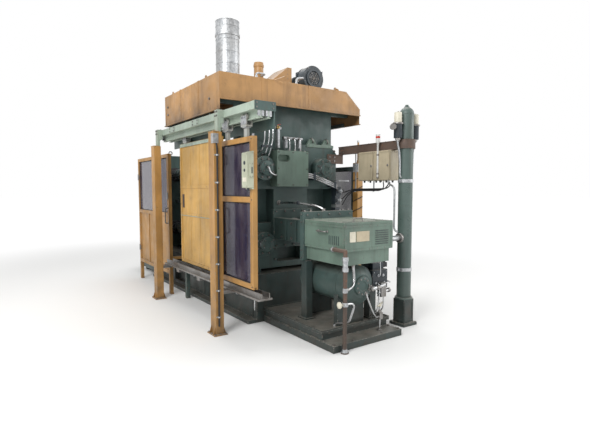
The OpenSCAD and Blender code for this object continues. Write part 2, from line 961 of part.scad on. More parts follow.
// A trolley that hangs a leaf whose top is at top, centred at x and y.
module trolley(x, y, top) {
    cheek = track_foot_w / 2 + cheek_c;
    cheek_t = 6;
    half = 60;
    axle = 35;
    drop = 40;
    bridge = 15;
    hub = track_web / 2 + cheek_c - cut;
    wheel_z = track_foot_z + track_foot_t + run_c + wheel_d / 2;
    translate([x, y, 0]) {
        for (s = [-1, 1]) {
            span([s * cheek, -half, track_foot_z - drop],
                 [s * (cheek + cheek_t), half, wheel_z + 12]);
            for (v = [-axle, axle])
                x_rod(v, wheel_z, s < 0 ? -cheek : hub, s < 0 ? -hub : cheek, wheel_d);
        }
        span([-cheek - cheek_t, -half, track_foot_z - drop - bridge],
             [cheek + cheek_t, half, track_foot_z - drop]);
        span([-bridge, -2 * bridge, top], [bridge, 2 * bridge, track_foot_z - drop - bridge]);
    }
}

// The fins that guide the leaves from below, on their channel, with arms to the bed.
module bottom_guide() {
    z1 = leaf_bottom - fin_c;
    z0 = z1 - tube;
    low = z0 - guide_plate_h;
    arm_w = 90;
    x0 = track_a_x - 2 * guide_plate_h;
    x1 = track_b_x + 35;
    color("#4d4f50") {
        span([x0, rail_y0, low], [x1, rail_y1, z0]);
        for (x = [track_a_x, track_b_x])
            span([x - fin_t / 2, rail_y0, z0], [x + fin_t / 2, rail_y1, z1]);
        for (y = [post_front_y, post_rear_y])
            span([-post_in, y + 20, low - tie_h], [x1, y + 20 + arm_w, low]);
        for (y = [bed_pitch, 2 * bed_pitch])
            span([x0, y - arm_w / 2, low - tie_h], [-bed_body_w / 2, y + arm_w / 2, low]);
    }
}

// The groove in a leaf's lower edge for the guide's fin.
module leaf_groove(x, y0, y1) {
    span([x - groove_w / 2, y0 - cut, leaf_bottom - cut],
         [x + groove_w / 2, y1 + cut, leaf_bottom + groove_h]);
}

module window_door() {
    y0 = leaf_a_y;
    y1 = leaf_a_y + leaf_a_l;
    x0 = track_a_x - tube / 2;
    x1 = track_a_x + tube / 2;
    color("#c58a45") {
        difference() {
            span([x0, y0, leaf_bottom], [x1, y1, leaf_a_top]);
            span([x0 - cut, y0 + tube, leaf_bottom + tube], [x1 + cut, y1 - tube, crossbar_z]);
            span([x0 - cut, y0 + tube, crossbar_z + tube],
                 [x1 + cut, y1 - tube, leaf_a_top - tube]);
            leaf_groove(track_a_x, y0, y1);
        }
        for (y = [y0 + 160, y1 - 160]) trolley(track_a_x, y, leaf_a_top);
    }
}

// A clear sheet in a frame's opening.
module pane(x, y0, y1, z0, z1) {
    span([x - pane_t / 2, y0, z0], [x + pane_t / 2, y1, z1]);
}

module door_window() {
    y0 = leaf_a_y + tube;
    y1 = leaf_a_y + leaf_a_l - tube;
    color([0.25, 0.2, 0.35, 0.5]) {
        pane(track_a_x, y0, y1, leaf_bottom + tube, crossbar_z);
        pane(track_a_x, y0, y1, crossbar_z + tube, leaf_a_top - tube);
    }
}

module door_switch_box() {
    x = track_a_x - tube / 2;
    depth = 65;
    color("#b9c2a4")
        span([x - depth, leaf_a_y - 20, leaf_a_top - 500], [x, leaf_a_y + 100, leaf_a_top - 160]);
}

module sheet_door() {
    y0 = leaf_b_y;
    y1 = leaf_b_y + leaf_b_l;
    x0 = track_b_x - leaf_b_t / 2;
    x1 = track_b_x + leaf_b_t / 2;
    edge = 40;
    fold = 8;
    ribs = [1190, 1560];
    color("#d19a38") {
        difference() {
            span([x0, y0, leaf_bottom], [x1, y1, leaf_b_top]);
            for (z = [[leaf_bottom + edge, ribs[0]], [ribs[0] + edge, ribs[1]],
                      [ribs[1] + edge, leaf_b_top - edge]])
                span([x0 - cut, y0 + edge, z[0]], [x0 + fold, y1 - edge, z[1]]);
            leaf_groove(track_b_x, y0, y1);
        }
        for (y = [y0 + 200, y1 - 200]) trolley(track_b_x, y, leaf_b_top);
    }
}

module near_posts() {
    head = 35;
    head_in = 25;
    foot = 30;
    foot_t = 12;
    color("#c58a45") for (y = [post_front_y, post_rear_y]) {
        span([-post_out, y, 0], [-post_in, y + post_l, post_top]);
        span([-post_in - head, y + head_in, post_top],
             [-post_in, y + post_l - head_in, rail_z1]);
        span([-post_in, y + head_in, rail_z0], [-rail_out, y + post_l - head_in, rail_z1]);
        span([-post_out - foot, y - foot, 0], [-post_in + foot, y + post_l + foot, foot_t]);
    }
}

module far_posts() {
    w = far_post_w;
    foot = 30;
    foot_t = 12;
    front_y = -50;
    pole_d = 24;
    pole_h = 300;
    color("#c58a45") {
        for (y = [front_y, post_rear_y]) {
            span([far_post_x, y, 0], [far_post_x + w, y + w, far_post_top]);
            span([far_post_x - foot, y - foot, 0], [far_post_x + w + foot, y + w + foot, foot_t]);
            span([bed_plate_w / 2, y + w / 2 + 5, tie_z],
                 [far_post_x, y + w - 5, tie_z + tie_h]);
        }
        translate([far_post_x + w / 2, front_y + w / 2, far_post_top])
            cylinder(h = pole_h, d = pole_d);
    }
}

// A guard panel along Y, with a sheet below and an open frame above.
module guard_panel(x, y0, y1, z1) {
    x0 = x - tube / 2;
    x1 = x + tube / 2;
    difference() {
        span([x0, y0, guard_z], [x1, y1, z1]);
        span([x0 - cut, y0 + tube, guard_mid + tube], [x1 + cut, y1 - tube, z1 - tube]);
        span([x0 - cut, y0 + tube, guard_z + tube], [x - pane_t / 2, y1 - tube, guard_mid]);
        span([x + pane_t / 2, y0 + tube, guard_z + tube], [x1 + cut, y1 - tube, guard_mid]);
    }
}

far_guard_x = far_post_x + far_post_w / 2;
far_guard_y = far_post_w - 50;
far_guard_top = far_post_top - 40;
toggle_guard_top = leaf_a_top;

module far_guard() {
    color("#3f6254") guard_panel(far_guard_x, far_guard_y, post_rear_y, far_guard_top);
}

module toggle_guards() {
    color("#c58a45") for (s = [-1, 1]) {
        x = s * guard_x;
        guard_panel(x, guard_y, bed_l, toggle_guard_top);
        for (y = [guard_y, bed_l - tube]) {
            span([x - tube / 2, y, 0], [x + tube / 2, y + tube, guard_z]);
            span([s * bed_plate_w / 2, y + 5, tie_z],
                 [s * (guard_x - tube / 2), y + tube - 5, tie_z + tie_h]);
        }
    }
}

module guard_windows() {
    z0 = guard_mid + tube;
    color([0.25, 0.2, 0.35, 0.5]) {
        pane(far_guard_x, far_guard_y + tube, post_rear_y - tube, z0, far_guard_top - tube);
        for (s = [-1, 1])
            pane(s * guard_x, guard_y + tube, bed_l - tube, z0, toggle_guard_top - tube);
    }
}

// The hood's end view, drawn in by wall, down to the height low.
module hood_profile(wall, low) {
    hip_x = hood_x1 - hood_hip_w - wall / 2;
    hip_z = hood_top - hood_hip_h - wall / 2;
    polygon([
        [hood_x0 + wall, low], [hood_x0 + wall, hood_top - wall],
        [hip_x, hood_top - wall], [hood_x1 - wall, hip_z], [hood_x1 - wall, low]
    ]);
}

module hood() {
    color("#c17f3f") {
        difference() {
            along(0, hood_l) hood_profile(0, hood_side_z);
            along(sheet, hood_l - sheet) hood_profile(sheet, hood_side_z - cut);
            span([hood_x0 - cut, -cut, hood_side_z - cut],
                 [hood_x1 + cut, sheet + cut, hood_front_z]);
            translate([duct_x, duct_y, hood_top - 2 * sheet])
                cylinder(h = 4 * sheet, d = duct_d - 2 * duct_wall);
        }
        span([hood_x0, -hood_lip, hood_front_z], [hood_x1, 0, hood_front_z + hood_lip_h]);
        span([hood_x0 - hood_lip, 0, hood_side_z], [hood_x0, hood_l, hood_side_z + hood_lip_h]);
        span([hood_x1, 0, hood_side_z], [hood_x1 + hood_lip, hood_l, hood_side_z + hood_lip_h]);
    }
}

// Beams across the hood's inside, on uprights from the fixed platen and from the floor,
// with a sheet between the platen's top and the front beam.
module hood_frame() {
    z = hood_front_z + beam_up;
    post_x = 500;
    b = hood_beam;
    color("#7d8a80") {
        for (y = [front_beam_y, rear_beam_y])
            span([hood_x0 + sheet, y, z], [hood_x1 - sheet, y + b, z + b]);
        for (x = [-post_x, post_x])
            span([x - b / 2, front_beam_y, platen_top], [x + b / 2, front_beam_y + b, z]);
        span([-platen_w / 2, front_beam_y - sheet, platen_top],
             [platen_w / 2, front_beam_y, z + b]);
        for (s = [-1, 1])
            span([s * upright_x, rear_beam_y, 0], [s * (upright_x + upright_w), rear_beam_y + b, z]);
    }
}

module exhaust_duct() {
    base = 35;
    base_t = 15;
    ring = 8;
    ring_h = 30;
    ring_z = 430;
    translate([duct_x, duct_y, hood_top]) color("#a7abac") difference() {
        union() {
            cylinder(h = duct_l, d = duct_d);
            cylinder(h = base_t, d = duct_d + 2 * base);
            translate([0, 0, ring_z]) cylinder(h = ring_h, d = duct_d + 2 * ring);
        }
        translate([0, 0, -cut]) cylinder(h = duct_l + 2 * cut, d = duct_d - 2 * duct_wall);
    }
}

// A conduit stub and a sloped inlet box on the hood's top.
module hood_inlet() {
    stub_d = 110;
    stub_h = 220;
    box_w = 300;
    box_y = [100, 400];
    box_h = 200;
    flat = 60;
    color("#c58a45") {
        translate([-400, duct_y, hood_top]) cylinder(h = stub_h, d = stub_d);
        along(box_y[0], box_y[1]) translate([-box_w, hood_top]) polygon([
            [0, 0], [box_w, 0], [box_w, box_h], [box_w - flat, box_h]
        ]);
    }
}

module hood_fan() {
    x = 450;
    y = 250;
    scroll_d = 320;
    scroll_l = 170;
    motor_d = 190;
    motor_l = 280;
    frame_t = 12;
    z = hood_top + frame_t + scroll_d / 2 - 2;
    color("#2c3a44") {
        y_rod(x, z, y, y + scroll_l, scroll_d);
        y_rod(x, z, y + scroll_l, y + scroll_l + motor_l, motor_d);
        span([x - 150, y - 20, hood_top], [x + 150, y + scroll_l + motor_l + 20, hood_top + frame_t]);
        span([x - 50, y + scroll_l + 60, hood_top + frame_t],
             [x + 50, y + scroll_l + 220, z - motor_d / 2 + 10]);
    }
}

module oil_tank() {
    w = tank_w / 2;
    leg = 100;
    leg_h = 60;
    lid = 20;
    lug_w = 60;
    y1 = tank_y + tank_l;
    color("#41665a") {
        span([-w, tank_y, leg_h], [w, y1, tank_top]);
        span([-w - lid, tank_y - lid, tank_top], [w + lid, y1 + lid, tank_top + lid]);
        for (x = [-w + leg / 2, w - 3 * leg / 2]) for (y = [tank_y + leg / 2, y1 - 3 * leg / 2])
            span([x, y, 0], [x + leg, y + leg, leg_h]);
        for (x = [-w + 2 * leg, w - 2 * leg - lug_w])
            span([x, bed_l, 2 * leg], [x + lug_w, tank_y, 4 * leg]);
    }
}

module pump_motor() {
    x = -280;
    top = tank_top + 20;
    motor_d = 300;
    motor_l = 420;
    pump_d = 180;
    pump_l = 180;
    z = top + motor_d / 2 + 30;
    y = tank_y + 120;
    color("#35555c") {
        y_rod(x, z, y, y + motor_l, motor_d);
        y_rod(x, z, y + motor_l, y + motor_l + pump_l, pump_d);
        span([x - 120, y + 30, top], [x + 120, y + motor_l - 40, z - motor_d / 3]);
        span([x - 50, y + motor_l + 20, top], [x + 50, y + motor_l + pump_l - 20, z - pump_d / 3]);
    }
}

bed();
way_strips();
shot_base();
fixed_platen();
moving_platen();
rear_platen();
tie_bars();
tie_bar_nuts();
die_height_drive();
toggle_links();
toggle_pins();
crosshead();
guide_bars();
ejector_unit();
closing_cylinder();
closing_rod();
shot_frame();
shot_supports();
shot_cylinder();
plunger_rod();
shot_sleeve();
shot_valve_block();
pilot_manifold();
shot_cover();
oil_vessel();
platen_head_block();
core_pull_valves();
cooling_manifold();
return_pipe();
accumulator();
accumulator_stand();
accumulator_valves();
pressure_pipe();
service_beam();
terminal_box();
signal_lamp();
door_rail();
bottom_guide();
window_door();
door_window();
door_switch_box();
sheet_door();
near_posts();
far_posts();
far_guard();
toggle_guards();
guard_windows();
hood();
hood_frame();
exhaust_duct();
hood_inlet();
hood_fan();
oil_tank();
pump_motor();
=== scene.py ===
import itertools
import math
import bmesh
import bpy
from mathutils import Matrix, Vector


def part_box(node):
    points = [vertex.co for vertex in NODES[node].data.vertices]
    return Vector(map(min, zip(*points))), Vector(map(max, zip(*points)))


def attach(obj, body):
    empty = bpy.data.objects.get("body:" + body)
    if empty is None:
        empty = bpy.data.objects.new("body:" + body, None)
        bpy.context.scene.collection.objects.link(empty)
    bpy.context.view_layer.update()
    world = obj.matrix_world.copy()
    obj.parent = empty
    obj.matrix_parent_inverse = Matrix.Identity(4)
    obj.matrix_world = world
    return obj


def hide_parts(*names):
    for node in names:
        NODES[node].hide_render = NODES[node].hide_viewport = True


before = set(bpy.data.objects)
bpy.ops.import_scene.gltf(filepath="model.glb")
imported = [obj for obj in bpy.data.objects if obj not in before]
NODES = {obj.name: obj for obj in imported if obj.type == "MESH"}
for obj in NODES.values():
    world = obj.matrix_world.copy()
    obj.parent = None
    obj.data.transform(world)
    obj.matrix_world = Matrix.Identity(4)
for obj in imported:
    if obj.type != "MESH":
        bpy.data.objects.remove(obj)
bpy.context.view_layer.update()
X, Y, Z = Vector((1, 0, 0)), Vector((0, 1, 0)), Vector((0, 0, 1))

# Lengths below are millimetres, as in the CAD source, apart from camera, lamps, floor and materials
MM = 0.001
WELD = 0.02 * MM
BEVEL_FROM, SMOOTH_BELOW = math.radians(40), math.radians(35)
SIDES = (-1, 1)


# Camera

CAMERA_PLACE = (-3.11, -4.38, 1.55)
CAMERA_AZIMUTH = -35.2
CAMERA_DOWN = 4.26
LENS = 27.03


def add(name, data):
    obj = bpy.data.objects.new(name, data)
    bpy.context.scene.collection.objects.link(obj)
    return obj


def make_camera():
    data = bpy.data.cameras.new("camera")
    data.lens = LENS
    data.sensor_width = 36
    data.clip_end = 200
    cam = add("camera", data)
    cam.location = CAMERA_PLACE
    cam.rotation_euler = (math.radians(90 - CAMERA_DOWN), 0, math.radians(CAMERA_AZIMUTH))
    bpy.context.scene.camera = cam


make_camera()


# Materials

SLOTS, EDGES = {}, {}
MIX_FACTOR, MIX_A, MIX_B, MIX_COLOUR = 0, 6, 7, 2
GRIME, OIL, STAIN = (0.045, 0.038, 0.030), (0.050, 0.036, 0.026), (0.075, 0.048, 0.030)
SOOT, DUST, BARE = (0.035, 0.028, 0.022), (0.30, 0.27, 0.23), (0.21, 0.195, 0.175)


def feed(tree, socket, value):
    """Sets a number, place or colour on a socket, or links what another node gives."""
    if isinstance(value, bpy.types.NodeSocket):
        tree.links.new(value, socket)
    elif socket.type == "RGBA":
        socket.default_value = (*value, 1)
    else:
        socket.default_value = value


class Shader:
    """Wires nodes into one Principled material, in the object's own coordinates."""

    def __init__(self, name, slot=None):
        self.mat = bpy.data.materials.new(name)
        self.mat.use_nodes = True
        self.tree = self.mat.node_tree
        self.bsdf = self.tree.nodes["Principled BSDF"]
        self.where = self.node("TexCoord").outputs["Object"]
        SLOTS[self.mat] = slot

    def node(self, kind, **values):
        """A new node with its input sockets set or linked by their names."""
        node = self.tree.nodes.new("ShaderNode" + kind)
        for name, value in values.items():
            feed(self.tree, node.inputs[name.replace("_", " ").title()], value)
        return node

    def stretched(self, scale, location=(0, 0, 0)):
        return self.node("Mapping", vector=self.where, scale=scale, location=location).outputs["Vector"]

    def noise(self, scale, detail=4, rough=0.55, vector=None):
        return self.node("TexNoise", scale=scale, detail=detail, roughness=rough,
                         vector=vector or self.where).outputs["Fac"]

    def ramp(self, value, start, end, low=0.0, high=1.0):
        node = self.node("MapRange", value=value, from_min=start, from_max=end, to_min=low, to_max=high)
        return node.outputs["Result"]

    def math(self, kind, a, b):
        node = self.node("Math")
        node.operation = kind
        node.use_clamp = True
        feed(self.tree, node.inputs[0], a)
        feed(self.tree, node.inputs[1], b)
        return node.outputs[0]

    def times(self, a, b):
        return self.math("MULTIPLY", a, b)

    def along(self, axis="Z"):
        return self.node("SeparateXYZ", vector=self.where).outputs[axis]

    def facing_up(self):
        normal = self.node("NewGeometry").outputs["Normal"]
        return self.ramp(self.node("SeparateXYZ", vector=normal).outputs["Z"], 0.5, 0.95)

    def blend(self, factor, a, b):
        node = self.node("Mix")
        node.data_type = "RGBA"
        for slot, value in ((MIX_FACTOR, factor), (MIX_A, a), (MIX_B, b)):
            feed(self.tree, node.inputs[slot], value)
        return node.outputs[MIX_COLOUR]

    def bump(self, height, strength):
        normal = self.node("Bump", strength=strength, distance=0.002, height=height).outputs["Normal"]
        feed(self.tree, self.bsdf.inputs["Normal"], normal)

    def put(self, **values):
        for name, value in values.items():
            feed(self.tree, self.bsdf.inputs[name.replace("_", " ").title().replace("Ior", "IOR")], value)


def shade(colour, factor):
    return tuple(c * factor for c in colour)


def paint(name, slot, colour, chips=0.30, dirt=0.5, primer=(0.10, 0.05, 0.03), dusty=0.35, rough=0.42,
          soot=None, second=None, worn=0, worn_primer=BARE):
    """Old machine paint: faded patches, oily runs, stains, chips down to primer and dust on top faces."""
    s = Shader(name, slot)
    body = s.blend(s.ramp(s.noise(1.7, 5, 0.6), 0.35, 0.65), shade(colour, 0.76), shade(colour, 1.14))
    if second:
        # past this place along one axis the colour changes: another paint on posts and leaves, and painted
        # shade on the rail's inner fascia
        axis, place, other = second
        body = s.blend(s.math("GREATER_THAN", s.along(axis), place), body, other)
    runs = s.noise(5.0, 6, 0.65, s.stretched((1.0, 1.0, 0.16)))
    body = s.blend(s.ramp(runs, 0.50, 0.74, 0.0, dirt * 0.85), body, shade(colour, 0.34))
    streaks = s.noise(21.0, 4, 0.6, s.stretched((1.0, 1.0, 0.05)))
    body = s.blend(s.ramp(streaks, 0.58, 0.72, 0.0, dirt * 0.55), body, OIL)
    stains = s.times(s.ramp(s.noise(3.1, 7, 0.7), 0.56, 0.68), s.ramp(s.noise(17.0), 0.3, 0.7))
    body = s.blend(s.times(stains, dirt * 0.7), body, STAIN)
    grime = s.times(s.ramp(s.along(), 0.75, 0.0), s.ramp(s.noise(9.0, 5), 0.3, 0.7))
    body = s.blend(s.times(grime, dirt), body, GRIME)
    if soot:
        smoke = s.times(s.ramp(s.along(), soot[1], soot[0]), s.ramp(s.noise(3.7, 6, 0.65), 0.28, 0.62))
        body = s.blend(s.times(smoke, 0.8), body, SOOT)
    dust = s.times(s.facing_up(), s.ramp(s.noise(6.0, 6), 0.25, 0.7, 0.2, dusty * 1.6))
    body = s.blend(dust, body, DUST)
    spots = s.noise(26.0, 7, 0.7)
    chip = s.ramp(spots, 0.72 - chips * 0.2, 0.735 - chips * 0.2)
    s.put(base_color=s.blend(chip, body, primer),
          roughness=s.ramp(s.noise(7.0, 5), 0.3, 0.75, rough - 0.1, rough + 0.25))
    s.bump(s.math("ADD", s.times(s.noise(190.0, 3), 0.35), s.times(spots, 0.6)), 0.12)
    if worn:
        EDGES[s.mat] = paint(name + "_worn", slot, colour, chips=worn, primer=worn_primer, second=second)
    return s.mat


def metal(name, slot, colour, rough, stain, grain=(1, 1, 1)):
    """Bare steel with oily stains and, along one axis, machining marks."""
    s = Shader(name, slot)
    marks = s.noise(60.0, 4, 0.6, s.stretched(grain))
    body = s.blend(s.ramp(marks, 0.3, 0.7), shade(colour, 0.86), shade(colour, 1.08))
    body = s.blend(s.ramp(s.noise(5.0, 6, 0.65), 0.45, 0.75, 0.0, stain), body, (0.09, 0.07, 0.05))
    s.put(base_color=body, metallic=1.0,
          roughness=s.ramp(s.noise(11.0, 5), 0.3, 0.7, rough - 0.08, rough + 0.2))
    s.bump(marks, 0.06)
    return s.mat


def galvanised(name, slot):
    """Zinc coated sheet with its flakes and a dull white bloom."""
    s = Shader(name, slot)
    cells = s.node("TexVoronoi", scale=55.0, vector=s.where).outputs["Color"]
    flakes = s.node("RGBToBW", color=cells).outputs[0]
    body = s.blend(s.ramp(flakes, 0.2, 0.8), (0.34, 0.355, 0.37), (0.52, 0.53, 0.54))
    body = s.blend(s.ramp(s.noise(3.0, 6), 0.5, 0.8, 0.0, 0.45), body, (0.20, 0.185, 0.17))
    s.put(base_color=body, metallic=0.75, roughness=s.ramp(flakes, 0.0, 1.0, 0.36, 0.52))
    s.bump(s.noise(120.0, 3), 0.05)
    return s.mat


def plastic(name, slot, colour, rough):
    s = Shader(name, slot)
    body = s.blend(s.ramp(s.noise(14.0, 5), 0.3, 0.75), shade(colour, 0.82), shade(colour, 1.08))
    s.put(base_color=body, roughness=s.ramp(s.noise(30.0, 3), 0.2, 0.8, rough - 0.05, rough + 0.12))
    s.bump(s.noise(260.0, 2), 0.05)
    return s.mat


def window(name, slot, colour):
    """Tinted clear sheet with wiped dust."""
    s = Shader(name, slot)
    dust = s.ramp(s.noise(4.0, 6, 0.65, s.stretched((1, 1, 0.4))), 0.4, 0.8, 0.0, 0.5)
    s.put(base_color=s.blend(dust, colour, (0.33, 0.31, 0.33)), roughness=s.ramp(dust, 0.0, 0.5, 0.08, 0.35),
          alpha=s.ramp(dust, 0.0, 0.5, 0.62, 0.82))
    return s.mat


MACHINE_RGB, RAIL_RGB, TROLLEY_RGB = (0.058, 0.098, 0.090), (0.330, 0.400, 0.330), (0.360, 0.370, 0.345)
POST_RGB = (0.440, 0.235, 0.070)
POST = dict(slot="orange_paint", colour=POST_RGB, chips=0.25, dirt=0.6, worn=0.95)
# Where posts and leaves change to their second paint, and where the rail's inner fascia turns to painted
# shade, along X or Z
RAIL_SHADE_FROM, POST_CHANGE, WINDOW_CHANGE, SHEET_CHANGE = -0.8085, 2.1465, 2.0615, 2.1515
GREEN = paint("machine_green", "green_paint", MACHINE_RGB, dirt=0.8, worn=0.95)
DARK_GREEN = paint("base_green", "dark_green_paint", (0.036, 0.058, 0.055), dirt=0.9, worn=0.95)
LIGHT_GREEN = paint("cover_green", "light_green_paint", (0.140, 0.205, 0.165), dirt=0.55, worn=0.85)
SMOOTH_GREEN = paint("accumulator_green", "green_paint", (0.085, 0.125, 0.112),
                     chips=0.1, dirt=0.35, rough=0.34)
RAIL_GREEN = paint("rail_green", "pale_green_paint", RAIL_RGB)
# the rail's inner fascia, under the rail, takes the machine's dark green as painted shade
RAIL_WITH_PAINTED_SHADE = paint("rail_with_painted_shade", "pale_green_paint", RAIL_RGB,
                      worn=0.8, second=("X", RAIL_SHADE_FROM, MACHINE_RGB))
HOOD = paint("hood_orange", "orange_paint", (0.430, 0.235, 0.088), chips=0.22, dirt=0.75, dusty=0.6,
             soot=(2.40, 2.66), worn=0.95, worn_primer=(0.11, 0.06, 0.04))
ORANGE = paint("post_orange", **POST)
POST_ORANGE = paint("near_post_orange", second=("Z", POST_CHANGE, RAIL_RGB), **POST)
WINDOW_ORANGE = paint("window_leaf_orange", second=("Z", WINDOW_CHANGE, TROLLEY_RGB), **POST)
YELLOW = paint("door_yellow", "orange_paint", (0.540, 0.320, 0.090), chips=0.2, worn=0.9,
               second=("Z", SHEET_CHANGE, TROLLEY_RGB))
CREAM = paint("box_cream", "cream_paint", (0.500, 0.430, 0.300), chips=0.1, dirt=0.4)
PALE_GREEN = paint("switch_green", "pale_green_paint", (0.430, 0.450, 0.340), chips=0.1, dirt=0.4)
DARK = paint("motor_dark", "blue_black_paint", (0.030, 0.042, 0.052), chips=0.2, dirt=0.6, worn=0.95)
BROWN = paint("beam_brown", "rusty_steel", (0.115, 0.078, 0.060), chips=0.6, dirt=0.7,
              primer=(0.17, 0.080, 0.045), rough=0.6)
STEEL = metal("oily_steel", "worn_steel", (0.30, 0.29, 0.28), rough=0.42, stain=0.7)
GROUND = metal("bright_steel", "ground_steel", (0.56, 0.57, 0.58),
               rough=0.20, stain=0.45, grain=(1, 0.05, 1))
BOLT = metal("bolt_steel", "worn_steel", (0.24, 0.23, 0.22), rough=0.38, stain=0.6)
BRASS = metal("brass", "ground_steel", (0.48, 0.34, 0.14), rough=0.32, stain=0.5)
ZINC = galvanised("zinc_sheet", "galvanised")
RUBBER = plastic("black_rubber", "blue_black_paint", (0.020, 0.020, 0.021), rough=0.6)
PANE = window("tinted_pane", "tinted_window", (0.035, 0.026, 0.060))
WHITE_LENS = plastic("lens_white", "lamp_plastic", (0.72, 0.72, 0.70), rough=0.25)
RED_LENS = plastic("lens_red", "lamp_plastic", (0.60, 0.05, 0.03), rough=0.22)
PLATE = plastic("blank_plate", "cream_paint", (0.72, 0.68, 0.55), rough=0.35)


# Dressing the frame's own nodes


def soften(obj, bevel, edge=None):
    """Joins the mesh's corners and rounds its edges, which are worn where an edge finish is given."""
    weld = obj.modifiers.new("weld", "WELD")
    weld.merge_threshold = WELD
    if not bevel:
        return
    soft = obj.modifiers.new("edges", "BEVEL")
    soft.width = bevel * MM
    soft.segments = 2
    soft.limit_method = "ANGLE"
    soft.angle_limit = BEVEL_FROM
    soft.harden_normals = True
    if edge:
        obj.data.materials.append(edge)
        soft.material = 1


def dress(names, mat, bevel):
    """Gives CAD nodes their finish and small rounded edges, worn where the paint has a worn form."""
    for name in names.split():
        node = NODES[name]
        node.data.materials.clear()
        node.data.materials.append(mat)
        soften(node, bevel, EDGES.get(mat))


dress("fixed_platen moving_platen rear_platen", GREEN, 6)
dress("toggle_links crosshead shot_frame closing_cylinder shot_cylinder", GREEN, 4)
dress("oil_vessel oil_tank hood_frame tie_bar_nuts", GREEN, 4)
dress("bed shot_base shot_supports accumulator_stand far_guard", DARK_GREEN, 4)
dress("accumulator", SMOOTH_GREEN, 4)
dress("platen_head_block shot_cover", LIGHT_GREEN, 4)
dress("way_strips die_height_drive shot_sleeve bottom_guide", STEEL, 3)
dress("tie_bars toggle_pins guide_bars closing_rod plunger_rod", GROUND, 3)
dress("ejector_unit shot_valve_block pilot_manifold core_pull_valves accumulator_valves", DARK, 3)
dress("hood_fan pump_motor", DARK, 3)
dress("cooling_manifold pressure_pipe exhaust_duct", ZINC, 2)
dress("return_pipe service_beam", BROWN, 2)
dress("terminal_box", CREAM, 4)
dress("signal_lamp", WHITE_LENS, 2)
dress("door_rail", RAIL_WITH_PAINTED_SHADE, 3)
dress("hood hood_inlet", HOOD, 3)
dress("far_posts toggle_guards", ORANGE, 3)
dress("near_posts", POST_ORANGE, 3)
dress("window_door", WINDOW_ORANGE, 3)
dress("sheet_door", YELLOW, 3)
dress("door_switch_box", PALE_GREEN, 6)
dress("door_window guard_windows", PANE, 0)


# Toolkit for the added pieces


def box_of(node):
    """A node's lowest and highest corner at rest, in whole millimetres."""
    return [Vector(round(v / MM) for v in corner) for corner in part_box(node)]


def centre_of(node):
    low, high = box_of(node)
    return (low + high) / 2


def facing(at, along, twist=0.0):
    """A frame at a place with its Z along a direction."""
    turn = Vector(along).to_track_quat("Z", "Y").to_matrix().to_4x4()
    return Matrix.Translation(Vector(at)) @ turn @ Matrix.Rotation(twist, 4, "Z")


def grid(*axes):
    """Every place that these numbers, or lists of them, give along X, Y and Z."""
    return list(itertools.product(*(axis if isinstance(axis, tuple) else (axis,) for axis in axes)))


def row(a, b, count):
    a, b = Vector(a), Vector(b)
    return [a.lerp(b, i / (count - 1)) for i in range(count)]


def ring(centre, along, radius, count, start=0.0):
    place = facing(centre, along)
    turns = [start + i * math.tau / count for i in range(count)]
    return [place @ Vector((radius * math.cos(t), radius * math.sin(t), 0)) for t in turns]


def flat(axis, at, u, v):
    """A place in the plane that stands across one axis."""
    place = [u, v]
    place.insert(axis, at)
    return Vector(place)


def around(axis, at, low, high, counts):
    """Places along a rectangle's edge, in the plane that stands across one axis."""
    across = [low[0] + (high[0] - low[0]) * i / (counts[0] - 1) for i in range(counts[0])]
    up = [low[1] + (high[1] - low[1]) * i / (counts[1] - 1) for i in range(1, counts[1] - 1)]
    edges = list(itertools.product(across, (low[1], high[1])))
    edges += [(u, v) for v in up for u in (low[0], high[0])]
    return [flat(axis, at, u, v) for u, v in edges]


def rounded(points, bend):
    """The points with each corner turned into a short curve."""
    points = [Vector(p) for p in points]
    path = [points[0]]
    for before, at, after in zip(points, points[1:], points[2:]):
        a = at + (before - at).normalized() * min(bend, (before - at).length * 0.48)
        b = at + (after - at).normalized() * min(bend, (after - at).length * 0.48)
        for i in range(7):
            t = i / 6
            path.append((1 - t) ** 2 * a + 2 * t * (1 - t) * at + t * t * b)
    path.append(points[-1])
    return path


PIECES = []


